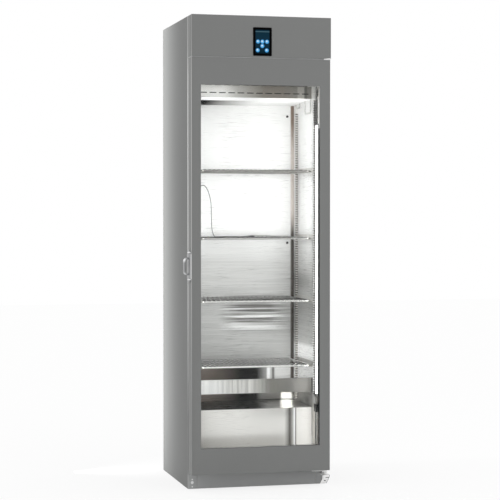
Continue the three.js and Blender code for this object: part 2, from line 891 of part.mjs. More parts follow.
function addDoor() {
  const door = new THREE.Group();
  cabinet.add(door);
  const outer = { left: doorLeft, right: doorRight, bottom: doorLift, top: doorTop };
  const opening = { left: windowLeft, right: windowRight, bottom: windowBottom, top: windowTop };
  addPiece('door_skin', doorSkin(outer, opening), painted, door);
  addPiece('door_frame', doorFrame(outer, opening), polished, door);
  const pane = inset(opening, -glassLap);
  addPiece('glass_outer', box(
    [pane.left, outerPaneFront, pane.bottom],
    [pane.right, outerPaneFront + paneThickness, pane.top],
  ), glass, door);
  addPiece('glass_inner', box(
    [pane.left, innerPaneFront, pane.bottom],
    [pane.right, innerPaneFront + paneThickness, pane.top],
  ), glass, door);
  const spacer = inset(pane, glassLap - spacerWidth);
  addPiece('glass_spacer', frameRing(
    spacer, inset(spacer, spacerWidth), spacerFront, spacerFront + spacerDepth,
  ), spacerMetal, door);
  addPiece('gasket', doorGasket(outer), rubber, door);
  addLamps(door, opening);
  addHandle(door);
  addPiece('closer_plate', closerPlate(), zinc, door);
}

// Pressed front frame with returns round its four sides.
function doorSkin(outer, opening) {
  const shell = box(
    [outer.left, doorFrontY, outer.bottom],
    [outer.right, doorBackY, outer.top],
  );
  const hollow = inset(outer, doorSheet);
  const core = box(
    [hollow.left, doorFrontY + doorSheet, hollow.bottom],
    [hollow.right, doorBackY + cutOverrun, hollow.top],
  );
  const window = box(
    [opening.left, doorFrontY - cutOverrun, opening.bottom],
    [opening.right, doorBackY + cutOverrun, opening.top],
  );
  return cut(shell, core, window, topPinHole());
}

function topPinHole() {
  return bar(
    [hingeX, hingeY, doorTop - pinEntry - seatGap],
    [hingeX, hingeY, doorTop + cutOverrun],
    pinDiameter + 2 * pinPlay,
    pinSides,
  );
}

// Insulated inner frame: its rebate holds the panes and its inner edge is the polished reveal.
function doorFrame(outer, opening) {
  const body = inset(outer, doorSheet + seatGap);
  const pocket = inset(opening, -glassLap - seatGap);
  const reveal = inset(opening, -revealStep);
  const frontFace = doorFrontY + doorSheet + seatGap;
  const rebate = frameRing(body, pocket, frontFace, revealFront);
  const rear = frameRing(body, reveal, revealFront, doorBackY);
  return cut(join(rebate, rear), topPinHole());
}

// Magnetic seal: a flat foot against the door and a narrower bulb towards the body.
function doorGasket(outer) {
  const foot = inset(outer, gasketInset);
  const footOpening = inset(foot, gasketWidth);
  const bulb = inset(foot, (gasketWidth - gasketBulbWidth) / 2);
  const bulbOpening = inset(bulb, gasketBulbWidth);
  const start = doorBackY + seatGap;
  const step = start + gasketBaseDepth;
  const end = front - seatGap;
  return join(frameRing(foot, footOpening, start, step), frameRing(bulb, bulbOpening, step, end));
}

function addLamps(door, opening) {
  const reveal = inset(opening, -revealStep);
  const lampFront = revealFront + lampSetback;
  const lampRear = lampFront + lampDepth;
  const lampBottom = reveal.bottom + lampLowGap;
  const lampTop = reveal.top - lampTopGap;
  const connectorBottom = reveal.bottom + connectorLowGap;
  const strip = (edge, side) => {
    const faces = [edge - side * seatGap, edge - side * (seatGap + lampThickness)].sort((a, b) => a - b);
    return box([faces[0], lampFront, lampBottom], [faces[1], lampRear, lampTop]);
  };
  addPiece('led_bar_left', strip(reveal.left, -1), lampWhite, door);
  addPiece('led_bar_right', strip(reveal.right, 1), lampWhite, door);
  addPiece('led_connector', box(
    [reveal.right - seatGap - connectorThickness, lampFront, connectorBottom],
    [reveal.right - seatGap, lampRear, connectorBottom + connectorHeight],
  ), blackPlastic, door);
}

function addHandle(door) {
  const middleY = doorFrontY + handleFrontInset + handleWidth / 2;
  const plate = outline(roundedRectangle(
    handleWidth - 2 * handleBevel, handleHeight - 2 * handleBevel,
    handleCorner - handleBevel, handleCornerSteps,
  ));
  const base = new THREE.ExtrudeGeometry(plate, {
    depth: handleThickness - handleBevel,
    bevelEnabled: true,
    bevelThickness: handleBevel,
    bevelSize: handleBevel,
    bevelSegments: handleBevelSteps,
  });
  const flatFace = cut(base, box(
    [-handleWidth, -handleHeight, -handleBevel - cutOverrun],
    [handleWidth, handleHeight, 0],
  ));
  flatFace.rotateX(Math.PI / 2);
  flatFace.rotateZ(-Math.PI / 2);
  flatFace.translate(doorLeft - seatGap, middleY, handleMiddle);
  const rootX = doorLeft - seatGap - handleThickness / 2;
  addPiece('door_handle', join(flatFace, handleGrip(rootX, middleY)), satinMetal, door);
}

// D-shaped pull that grows out of the base plate.
function handleGrip(rootX, middleY) {
  const path = new THREE.CurvePath();
  const half = gripHeight / 2;
  const at = (reach, z) => new THREE.Vector3(rootX - reach, middleY, handleMiddle + z);
  const outer = gripReach - gripThickness / 2;
  const low = -half + gripThickness / 2;
  const high = half - gripThickness / 2;
  path.add(new THREE.LineCurve3(at(0, low), at(outer - gripCorner, low)));
  path.add(new THREE.QuadraticBezierCurve3(
    at(outer - gripCorner, low), at(outer, low), at(outer, low + gripCorner),
  ));
  path.add(new THREE.LineCurve3(at(outer, low + gripCorner), at(outer, high - gripCorner)));
  path.add(new THREE.QuadraticBezierCurve3(
    at(outer, high - gripCorner), at(outer, high), at(outer - gripCorner, high),
  ));
  path.add(new THREE.LineCurve3(at(outer - gripCorner, high), at(0, high)));
  const section = outline(roundedRectangle(gripThickness, gripWidth, gripEdge, gripEdgeSteps));
  return new THREE.ExtrudeGeometry(section, { steps: gripSteps, extrudePath: path, bevelEnabled: false });
}

// Plate under the door with the bush that turns on the lower hinge pin.
function closerPlate() {
  const top = doorLift - seatGap;
  const bottom = top - closerPlateThickness;
  const right = doorRight - closerPlateInset;
  const plate = box(
    [right - closerPlateLength, hingeY - closerPlateWidth / 2, bottom],
    [right, hingeY + closerPlateWidth / 2, top],
  );
  const bushBottom = bracketArmTop + seatGap;
  const bush = bar([hingeX, hingeY, bushBottom], [hingeX, hingeY, bottom + seatGap], bushDiameter, pinSides);
  const bore = bar(
    [hingeX, hingeY, bushBottom - cutOverrun],
    [hingeX, hingeY, top - bracketPlate / 2],
    pinDiameter + 2 * pinPlay,
    pinSides,
  );
  return cut(join(plate, bush), bore);
}

// Hinge brackets

function addHingeBrackets() {
  const right = halfWidth - bracketInset;
  const left = right - bracketWidth;
  const leafBack = front - seatGap;
  const leafFront = leafBack - heavySheet;
  const armFront = front - bracketReach;
  const lowLeaf = box([left, leafFront, bracketFoot], [right, leafBack, bracketArmTop]);
  const lowArm = box([left, armFront, bracketArmTop - bracketPlate], [right, leafBack, bracketArmTop]);
  const gusset = prismAlongX(outline([
    [leafBack, bracketFoot], [leafBack, bracketArmTop],
    [armFront, bracketArmTop], [armFront, bracketArmTop - gussetDepth],
    [leafFront - gussetDepth, bracketFoot],
  ]), right - heavySheet, right);
  const lowPin = bar(
    [hingeX, hingeY, bracketArmTop - bracketPlate / 2],
    [hingeX, hingeY, doorLift - bracketPlate],
    pinDiameter,
    pinSides,
  );
  addPiece('hinge_bracket_bottom', join(lowLeaf, lowArm, gusset, lowPin), zinc);
  const topLow = machineDeckTop + fasciaSheet + topBracketLift;
  const insideRight = halfWidth - fasciaSheet - bracketInset;
  const topLeaf = box([left, leafFront, topLow], [insideRight, leafBack, topLow + topBracketLeaf]);
  const topArm = box([left, armFront, topLow], [insideRight, leafBack, topLow + bracketPlate]);
  const topPin = bar(
    [hingeX, hingeY, doorTop - pinEntry],
    [hingeX, hingeY, topLow + bracketPlate / 2],
    pinDiameter,
    pinSides,
  );
  addPiece('hinge_bracket_top', join(topLeaf, topArm, topPin), zinc);
}

// Control fascia

function addFascia() {
  const rear = front - seatGap;
  const shell = box([-halfWidth, doorFrontY, machineDeckTop], [halfWidth, rear, cabinetHeight]);
  const hollow = box(
    [-halfWidth + fasciaSheet, doorFrontY + fasciaSheet, machineDeckTop + fasciaSheet],
    [halfWidth - fasciaSheet, rear + cutOverrun, cabinetHeight - fasciaSheet],
  );
  const bottom = machineDeckTop + displayLift;
  const module = {
    left: displayCentre - displayWidth / 2,
    right: displayCentre + displayWidth / 2,
    bottom,
    top: bottom + displayHeight,
  };
  const cutout = inset(module, displayBorder / 2);
  const window = box(
    [cutout.left - seatGap, doorFrontY - cutOverrun, cutout.bottom - seatGap],
    [cutout.right + seatGap, doorFrontY + fasciaSheet + cutOverrun, cutout.top + seatGap],
  );
  const pinHole = bar(
    [hingeX, hingeY, machineDeckTop - cutOverrun],
    [hingeX, hingeY, machineDeckTop + fasciaSheet + cutOverrun],
    pinDiameter + 2 * pinHoleMargin,
    pinSides,
  );
  addPiece('fascia', cut(shell, hollow, window, pinHole), painted);
  addDisplay(module, cutout);
}

// Glass-fronted display that laps the cut-out, with a shallow recess for its lit area.
function addDisplay(module, cutout) {
  const lapRear = doorFrontY - seatGap;
  const lapFront = lapRear - displayProud;
  const lit = inset(module, displayBorder);
  const lap = box([module.left, lapFront, module.bottom], [module.right, lapRear, module.top]);
  const body = box(
    [cutout.left, lapRear - displayProud / 2, cutout.bottom],
    [cutout.right, doorFrontY + displayDepth, cutout.top],
  );
  const recess = box(
    [lit.left, lapFront - cutOverrun, lit.bottom],
    [lit.right, lapFront + screenRecess, lit.top],
  );
  addPiece('control_display', cut(join(lap, body), recess), screenGlass);
}

// Fans. Each one is built about its own middle with its axis along Y and its motor behind the rotor.

function fanFrame(size, depth) {
  const half = size / 2;
  const plate = outline([[-half, -half], [half, -half], [half, half], [-half, half]]);
  plate.holes.push(circle(half - fanWall, fanSides));
  const housing = prismAlongY(plate, -depth / 2, depth / 2);
  const motorFront = depth / 2 - depth * motorDepthShare;
  const motor = bar([0, motorFront, 0], [0, depth / 2, 0], size * motorShare, pinSides);
  const struts = [0, 1, 2].map((index) => {
    const strut = box(
      [0, depth / 2 - strutDepth, -strutWidth / 2],
      [half - fanWall / 2, depth / 2, strutWidth / 2],
    );
    strut.rotateY((index * 2 * Math.PI) / 3);
    return strut;
  });
  return join(housing, motor, ...struts);
}

function fanRotor(size, depth) {
  const motorFront = depth / 2 - depth * motorDepthShare;
  const hubRear = motorFront - seatGap;
  const hubFront = -depth / 2 + rotorFrontPlay;
  const hub = bar([0, hubFront, 0], [0, hubRear, 0], size * hubShare, pinSides);
  const tip = size / 2 - fanWall - fanTipPlay;
  const hubRadius = (size * hubShare) / 2;
  const chord = (hubRear - hubFront) / Math.sin(bladePitch) - 2 * bladeThickness;
  const root = hubRadius * Math.cos(Math.PI / pinSides) - bladeThickness;
  const blades = [];
  for (let index = 0; index < bladeCount; index += 1) {
    const blade = box(
      [root, -chord / 2, -bladeThickness / 2],
      [tip - bladeThickness, chord / 2, bladeThickness / 2],
    );
    blade.rotateX(Math.PI / 2 - bladePitch);
    blade.translate(0, (hubFront + hubRear) / 2, 0);
    blade.rotateY((index * 2 * Math.PI) / bladeCount);
    blades.push(blade);
  }
  const swept = bar([0, hubFront, 0], [0, hubRear, 0], 2 * tip, fanSides);
  const limit = toSolid(swept);
  return toGeometry([hub, ...blades].map(toSolid).reduce((sum, solid) => sum.add(solid)).intersect(limit));
}

// Both evaporator fans share one shroud: two housings on a common plate behind the rear panel.
function addEvaporatorFans() {
  const centreY = ductPanelFront + seatGap + evaporatorFanDepth / 2;
  const plateFront = centreY - evaporatorFanDepth / 2;
  const plateHalf = evaporatorFanSpread - evaporatorFanSize / 2 + fanWall / 2;
  const plateHigh = evaporatorFanSize / 2 - fanWall;
  const bridge = box(
    [-plateHalf, plateFront, fanCentreZ() - plateHigh],
    [plateHalf, plateFront + fanWall, fanCentreZ() + plateHigh],
  );
  const frames = [];
  for (const [name, side] of [['evaporator_fan_left', -1], ['evaporator_fan_right', 1]]) {
    const x = side * evaporatorFanSpread;
    const frame = fanFrame(evaporatorFanSize, evaporatorFanDepth);
    frame.translate(x, centreY, fanCentreZ());
    frames.push(frame);
    const rotor = addPiece(name, fanRotor(evaporatorFanSize, evaporatorFanDepth), blackPlastic);
    rotor.position.set(x, centreY, fanCentreZ());
  }
  addPiece('evaporator_fan_shroud', join(bridge, ...frames), blackPlastic);
}

// Cooling unit

// Fin block: a flat core with a comb of fins on its front and rear faces.
function finBlock(width, depth, height) {
  const pitch = width / finCount;
  const finWidth = pitch * finShare;
  const coreHalf = depth / 2 - finDepth;
  const frontEdge = [];
  const rearEdge = [];
  for (let fin = 0; fin < finCount; fin += 1) {
    const start = -width / 2 + fin * pitch + (pitch - finWidth) / 2;
    frontEdge.push([start, -coreHalf], [start, -depth / 2], [start + finWidth, -depth / 2]);
    frontEdge.push([start + finWidth, -coreHalf]);
    rearEdge.push([start, coreHalf], [start, depth / 2], [start + finWidth, depth / 2]);
    rearEdge.push([start + finWidth, coreHalf]);
  }
  const plan = [
    [-width / 2, -coreHalf], ...frontEdge, [width / 2, -coreHalf],
    [width / 2, coreHalf], ...rearEdge.reverse(), [-width / 2, coreHalf],
  ];
  return prismAlongZ(outline(plan), 0, height);
}

function addEvaporator() {
  const rear = linerBack - seatGap - trayMargin;
  const block = addPiece(
    'evaporator_coil', finBlock(evaporatorWidth, evaporatorDepth, evaporatorHeight), finAluminium,
  );
  block.position.set(0, rear - evaporatorDepth / 2, evaporatorBottom);
  const trayBottom = evaporatorBottom - seatGap - traySheet;
  const outer = box(
    [-evaporatorWidth / 2 - trayMargin, rear - evaporatorDepth - trayMargin, trayBottom],
    [evaporatorWidth / 2 + trayMargin, linerBack - seatGap, trayBottom + trayHeight],
  );
  const hollow = box(
    [-evaporatorWidth / 2 - trayMargin + traySheet, rear - evaporatorDepth - trayMargin + traySheet,
      trayBottom + traySheet],
    [evaporatorWidth / 2 + trayMargin - traySheet, linerBack - seatGap - traySheet,
      trayBottom + trayHeight + cutOverrun],
  );
  addPiece('drip_tray', cut(outer, hollow), polished);
}

// Hermetic compressor: a turned pot on a foot plate with four rubber feet.
function compressor() {
  const potBottom = grommetHeight + compressorPlateThickness;
  const profileShares = [
    [0, 0], [0.62, 0], [0.86, 0.06], [0.96, 0.18], [1, 0.4], [1, 0.48], [1.04, 0.5], [1.04, 0.54],
    [1, 0.56], [0.97, 0.72], [0.84, 0.88], [0.55, 0.98], [0, 1],
  ];
  const profile = profileShares.map(([radius, height]) => new THREE.Vector2(
    radius * compressorRadius,
    height * (compressorHeight - potBottom),
  ));
  const pot = new THREE.LatheGeometry(profile, potSides);
  pot.rotateX(Math.PI / 2);
  pot.translate(0, 0, potBottom - seatGap);
  const plate = box(
    [-compressorPlateWidth / 2, -compressorPlateDepth / 2, grommetHeight],
    [compressorPlateWidth / 2, compressorPlateDepth / 2, potBottom],
  );
  const feet = [];
  for (const signX of [-1, 1]) {
    for (const signY of [-1, 1]) {
      const x = signX * (compressorPlateWidth / 2 - grommetInset);
      const y = signY * (compressorPlateDepth / 2 - grommetInset);
      feet.push(bar([x, y, 0], [x, y, potBottom - compressorPlateThickness / 2], grommetDiameter, pinSides));
    }
  }
  return join(pot, plate, ...feet);
}

function addMachineCompartment() {
  const floor = machineDeckTop + seatGap;
  const pot = addPiece('compressor', compressor(), blackEnamel);
  pot.position.set(compressorX, compressorY, floor);
  const condenserY = back - condenserBackGap - condenserDepth / 2;
  const coil = addPiece(
    'condenser_coil', finBlock(condenserWidth, condenserDepth, condenserHeight), finAluminium,
  );
  coil.position.set(condenserX, condenserY, floor);
  const fanY = condenserY - condenserDepth / 2 - seatGap - condenserFanDepth / 2;
  const fanZ = floor + condenserFanSize / 2;
  const frame = addPiece('condenser_fan_frame', fanFrame(condenserFanSize, condenserFanDepth), blackPlastic);
  frame.position.set(condenserX, fanY, fanZ);
  const rotor = addPiece('condenser_fan', fanRotor(condenserFanSize, condenserFanDepth), blackPlastic);
  rotor.position.set(condenserX, fanY, fanZ);
}

// Core probe: a gland in the left wall, a loose lead and the probe lying on the second shelf.

function shelfTop() {
  return shelfLevel(shelfTeeth[1]) + rodTop() - weldSink + 2 * wireHalfHeight();
}

function glandZ() {
  return shelfTop() + glandLift;
}

// The lead leaves the gland in an arc, drops to the shelf and lies on its wires in a slack bend.
function probeRoute() {
  const lieZ = shelfTop() + seatGap + cableDiameter / 2;
  const start = -linerHalf + glandReach + seatGap;
  const wander = probeWander.map(([x, y, z]) => [start + x, probeY + y, glandZ() + z]);
  const lying = probeSlack.map(([x, y, lift]) => [start + x, probeY + y, lieZ + lift]);
  return [...wander, ...lying];
}

function addCoreProbe() {
  const wallX = -linerHalf;
  addPiece('probe_gland', bar(
    [wallX, probeY, glandZ()], [wallX + glandReach, probeY, glandZ()], glandDiameter, glandSides,
  ), blackPlastic);
  const points = probeRoute().map((point) => new THREE.Vector3(...point));
  const route = new THREE.CatmullRomCurve3(points, false, 'centripetal');
  addPiece('probe_cable', tubeAlong(route, cableDiameter, cableSides, cableSteps), blackPlastic);
  const end = points[points.length - 1];
  const bootStart = end.x + seatGap;
  const bootEnd = bootStart + bootLength;
  addPiece('probe_boot', bar(
    [bootStart, end.y, end.z], [bootEnd, end.y, end.z], bootDiameter, probeSides,
  ), blackPlastic);
  addPiece('core_probe', coreProbe([bootEnd + seatGap, end.y, end.z]), wireSteel);
}

// Turned steel handle that tapers to a pointed needle.
function coreProbe(start) {
  const handleRadius = probeDiameter / 2;
  const needleRadius = needleDiameter / 2;
  const shoulder = probeLength + handleRadius - needleRadius;
  const tip = shoulder + needleLength;
  const profile = [
    [0, 0], [handleRadius, 0], [handleRadius, probeLength], [needleRadius, shoulder],
    [needleRadius, tip - needlePoint], [0, tip],
  ];
  const geometry = new THREE.LatheGeometry(profile.map(([r, h]) => new THREE.Vector2(r, h)), probeSides);
  return layAlong(geometry, start, [start[0] + tip, start[1], start[2]]);
}

addCasing();
addInsulatedBox();
addChamberFittings();
addDoor();
addHingeBrackets();
addFascia();
addEvaporatorFans();
addEvaporator();
addMachineCompartment();
addCoreProbe();

export default cabinet;
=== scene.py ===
"""Looks for the dry aging cabinet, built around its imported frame. Metres, X right, Y back, Z up."""
import math

import bmesh
import bpy
from mathutils import Matrix, Vector


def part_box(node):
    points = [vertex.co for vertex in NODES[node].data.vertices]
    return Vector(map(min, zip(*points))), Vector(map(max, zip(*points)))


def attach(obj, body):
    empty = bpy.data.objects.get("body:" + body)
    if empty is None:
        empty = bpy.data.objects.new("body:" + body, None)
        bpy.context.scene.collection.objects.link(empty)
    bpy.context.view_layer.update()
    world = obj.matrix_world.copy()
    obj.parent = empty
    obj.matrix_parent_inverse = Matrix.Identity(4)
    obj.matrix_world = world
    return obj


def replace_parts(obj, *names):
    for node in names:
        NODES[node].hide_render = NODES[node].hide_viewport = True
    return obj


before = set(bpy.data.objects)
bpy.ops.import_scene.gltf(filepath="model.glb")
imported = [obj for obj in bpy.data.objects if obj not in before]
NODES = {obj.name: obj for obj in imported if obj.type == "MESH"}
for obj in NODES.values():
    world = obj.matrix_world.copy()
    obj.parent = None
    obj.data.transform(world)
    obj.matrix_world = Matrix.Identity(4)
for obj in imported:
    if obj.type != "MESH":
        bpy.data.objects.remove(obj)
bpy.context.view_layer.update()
SCENE = bpy.context.scene
MM = 0.001

# Shelf levels from the top down, and the sides as their name and the sign of X
LEVELS = range(1, 5)
SIDES = (("left", -1), ("right", 1))

# Edges sharper than this, in degrees, stay sharp or are rounded
CREASE = 35


def linear(tone, share=1):
    """The linear values that Blender keeps for a tone in sRGB levels, darkened to a share."""
    levels = [level / 255 for level in tone]
    return [share * (v / 12.92 if v <= 0.04045 else ((v + 0.055) / 1.055) ** 2.4) for v in levels] + [1.0]


# Camera, at the photograph's viewpoint

VIEWPOINT = (-1.7111, -6.9718, 1.1512)
PITCH = -0.0215
YAW = -0.2455
FOCAL_LENGTH = 117.79


def add_camera():
    camera = bpy.data.cameras.new("camera")
    camera.sensor_width = 36
    camera.lens = FOCAL_LENGTH
    camera.clip_start = 0.05
    camera.clip_end = 60
    viewer = add_object("camera", camera)
    viewer.location = VIEWPOINT
    viewer.rotation_euler = (math.pi / 2 + PITCH, 0, YAW)
    SCENE.camera = viewer


# Node trees, objects and meshes

class Nodes:
    """A node tree under construction."""

    def __init__(self, tree):
        self.tree = tree

    def feed(self, node, inputs):
        """Links or sets a node's inputs, given by name or number. None leaves one alone."""
        for key, value in inputs.items():
            if isinstance(value, bpy.types.NodeSocket):
                self.tree.links.new(value, node.inputs[key])
            elif value is not None:
                node.inputs[key].default_value = value
        return node

    def add(self, kind, inputs=(), **settings):
        node = self.tree.nodes.new(kind)
        for key, value in settings.items():
            setattr(node, key, value)
        return self.feed(node, dict(inputs))

    def reckon(self, operation, one, other=None):
        return self.add("ShaderNodeMath", {0: one, 1: other}, operation=operation).outputs["Value"]

    def mix_shaders(self, share, one, other, output):
        """Mixes the shaders of two nodes by a share, into the output node."""
        mix = self.add("ShaderNodeMixShader", {0: share, 1: one.outputs[0], 2: other.outputs[0]})
        self.feed(output, {"Surface": mix.outputs["Shader"]})


def add_object(name, data):
    made = bpy.data.objects.new(name, data)
    SCENE.collection.objects.link(made)
    return made


def mesh_of(name, geometry):
    """Turns a bmesh into a mesh and frees it."""
    mesh = bpy.data.meshes.new(name)
    geometry.to_mesh(mesh)
    geometry.free()
    return mesh


def keep(name, geometry, look, body="cabinet", smooth=CREASE):
    """Turns a bmesh into a named piece that rides on a body."""
    bmesh.ops.remove_doubles(geometry, verts=geometry.verts, dist=1e-7)
    bmesh.ops.recalc_face_normals(geometry, faces=geometry.faces)
    piece = add_object(name, mesh_of(name, geometry))
    piece.data.materials.append(look)
    smooth_by_angle(piece, smooth)
    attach(piece, body)
    return piece


def smoothing_group():
    """Node group that shades smooth all but the edges sharper than its angle."""
    group = bpy.data.node_groups.new("smooth_by_angle", "GeometryNodeTree")
    for name, way, kind in (("Geometry", "INPUT", "Geometry"), ("Angle", "INPUT", "Float"),
                            ("Geometry", "OUTPUT", "Geometry")):
        group.interface.new_socket(name, in_out=way, socket_type="NodeSocket" + kind)
    nodes = Nodes(group)
    entry = nodes.add("NodeGroupInput").outputs
    angle = nodes.add("GeometryNodeInputMeshEdgeAngle").outputs["Unsigned Angle"]
    sharp = nodes.add("FunctionNodeCompare", {0: angle, 1: entry["Angle"]}).outputs["Result"]
    faces = nodes.add("GeometryNodeSetShadeSmooth", {"Geometry": entry["Geometry"], "Shade Smooth": True},
                      domain="FACE").outputs["Geometry"]
    edges = nodes.add("GeometryNodeSetShadeSmooth",
                      {"Geometry": faces, "Selection": sharp, "Shade Smooth": False}, domain="EDGE")
    nodes.add("NodeGroupOutput", {"Geometry": edges.outputs["Geometry"]})
    return group


SMOOTHING = smoothing_group()
ANGLE_INPUT = next(item.identifier for item in SMOOTHING.interface.items_tree if item.name == "Angle")


def smooth_by_angle(piece, degrees=CREASE):
    modifier = piece.modifiers.new("smooth", "NODES")
    modifier.node_group = SMOOTHING
    modifier[ANGLE_INPUT] = math.radians(degrees)


def bevel(piece, width, segments):
    """Welds a carried-over node's split corners and rounds its edges."""
    weld = piece.modifiers.new("weld", "WELD")
    weld.merge_threshold = 1e-6
    if width:
        rounding = piece.modifiers.new("bevel", "BEVEL")
        rounding.width = width
        rounding.segments = segments
        rounding.limit_method = "ANGLE"
        rounding.angle_limit = math.radians(CREASE)
    smooth_by_angle(piece)


def dress(names, look, width=0, segments=2):
    """Gives CAD nodes their look, and edges rounded by the width."""
    for name in names.split():
        node = NODES[name]
        node.data.materials.clear()
        node.data.materials.append(look)
        bevel(node, width, segments)


def circle(sides):
    """Cosine and sine of equal turns round a circle."""
    turns = (2 * math.pi * side / sides for side in range(sides))
    return [(math.cos(turn), math.sin(turn)) for turn in turns]


def skin(geometry, rings, closed=False):
    """Joins rings of equal length into a tube, with caps unless it closes on itself."""
    loops = [[geometry.verts.new(point) for point in points] for points in rings]
    spans = list(zip(loops, loops[1:]))
    if closed:
        spans.append((loops[-1], loops[0]))
    for one, other in spans:
        for side, vertex in enumerate(one):
            after = (side + 1) % len(one)
            geometry.faces.new((vertex, one[after], other[after], other[side]))
    if not closed:
        geometry.faces.new(list(reversed(loops[0])))
        geometry.faces.new(loops[-1])


def rod(geometry, points, radius, sides=16, closed=False, normal=(0, 0, 1), rounded=0.0):
    """A round rod along a flat path, whose plane has the given normal."""
    path = [Vector(point) for point in points]
    upward = Vector(normal).normalized()
    count = len(path)
    rings = []
    for index, point in enumerate(path):
        before = path[index - 1] if closed or index else point
        after = path[(index + 1) % count] if closed or index < count - 1 else point
        arriving = (point - before).normalized()
        leaving = (after - point).normalized()
        heading = (arriving + leaving).normalized()
        across = heading.cross(upward).normalized()
        mitre = max(heading.dot(leaving if leaving.length else arriving), 0.5)
        rings.append([point + radius * (cosine * across / mitre + sine * upward)
                      for cosine, sine in circle(sides)])
    if rounded and not closed:
        rings = rounded_ends(rings, path, rounded)
    skin(geometry, rings, closed)


def rounded_ends(rings, path, size, shrink=0.7):
    """Adds a small chamfer ring at each end of a rod."""
    ends = []
    for ring, tip, inner in ((rings[0], path[0], path[1]), (rings[-1], path[-1], path[-2])):
        inward = (inner - tip).normalized() * size
        ends.append([[tip + (point - tip) * shrink for point in ring], [point + inward for point in ring]])
    return [*ends[0], *rings[1:-1], *reversed(ends[1])]


def lathe(profile, place, sides=32):
    """Turns (distance along the axis, radius) pairs about X, moved by a matrix, as a bmesh."""
    geometry = bmesh.new()
    skin(geometry, [[place @ Vector((along, radius * cosine, radius * sine)) for cosine, sine in circle(sides)]
                    for along, radius in profile])
    return geometry


def turned(place, quarters, axis):
    """Matrix that turns by quarters about an axis and then moves to a place."""
    return Matrix.Translation(place) @ Matrix.Rotation(quarters * math.pi / 2, 4, axis)


def block(low, high, rounding=0.0, segments=2, degrees=CREASE):
    """A box with rounded edges, as a bmesh."""
    geometry = bmesh.new()
    low, high = Vector(low), Vector(high)
    for vertex in bmesh.ops.create_cube(geometry, size=1)["verts"]:
        vertex.co = Vector(((vertex.co[i] + 0.5) * (high[i] - low[i]) + low[i]) for i in range(3))
    if rounding:
        round_edges(geometry, rounding, segments, degrees)
    return geometry


def round_edges(geometry, width, segments, degrees):
    sharp = [edge for edge in geometry.edges
             if len(edge.link_faces) == 2 and edge.calc_face_angle() > math.radians(degrees)]
    bmesh.ops.bevel(geometry, geom=sharp, offset=width, segments=segments, profile=0.6,
                    affect="EDGES", clamp_overlap=True)


def quarter_circle(x, y, radius, quarter, steps):
    """Points of one quarter of a circle, anticlockwise. Quarter 0 starts at the right."""
    turns = ((quarter + step / steps) * math.pi / 2 for step in range(steps + 1))
    return [(x + radius * math.cos(turn), y + radius * math.sin(turn)) for turn in turns]


def rounded_rectangle(x, y, half_x, half_y, radius, steps=6):
    """Corner points of a rounded rectangle round (x, y), anticlockwise from the middle right."""
    points = []
    for quarter, (right, up) in enumerate(((1, 1), (-1, 1), (-1, -1), (1, -1))):
        points += quarter_circle(x + right * (half_x - radius), y + up * (half_y - radius), radius, quarter,
                                 steps)
    return points


def plate(name, outlines, thickness, edge=0.0):
    """A flat plate in X and Y about Z = 0, with holes and slightly rounded edges, as a bmesh."""
    curve = bpy.data.curves.new(name + "_outline", "CURVE")
    curve.dimensions = "2D"
    curve.fill_mode = "BOTH"
    for points in outlines:
        line = curve.splines.new("POLY")
        line.points.add(len(points) - 1)
        for target, (x, y) in zip(line.points, points):
            target.co = (x, y, 0, 1)
        line.use_cyclic_u = True
    curve.extrude = thickness / 2 - edge
    curve.bevel_depth = edge
    curve.bevel_resolution = 1
    curve.offset = -edge
    holder = add_object(name + "_outline", curve)
    bpy.context.view_layer.update()
    mesh = bpy.data.meshes.new_from_object(holder.evaluated_get(bpy.context.evaluated_depsgraph_get()))
    geometry = bmesh.new()
    geometry.from_mesh(mesh)
    bpy.data.objects.remove(holder)
    bpy.data.curves.remove(curve)
    bpy.data.meshes.remove(mesh)
    bmesh.ops.remove_doubles(geometry, verts=geometry.verts, dist=1e-6)
    return geometry


def stand(geometry, y):
    """Stands a plate made in X and Y upright, in X and Z, with its middle at the given depth."""
    bmesh.ops.transform(geometry, verts=geometry.verts, matrix=turned((0, y, 0), 1, "X"))
    return geometry


def merge(target, source):
    """Adds one bmesh to another."""
    mesh = mesh_of("part", source)
    target.from_mesh(mesh)
    bpy.data.meshes.remove(mesh)


# Materials

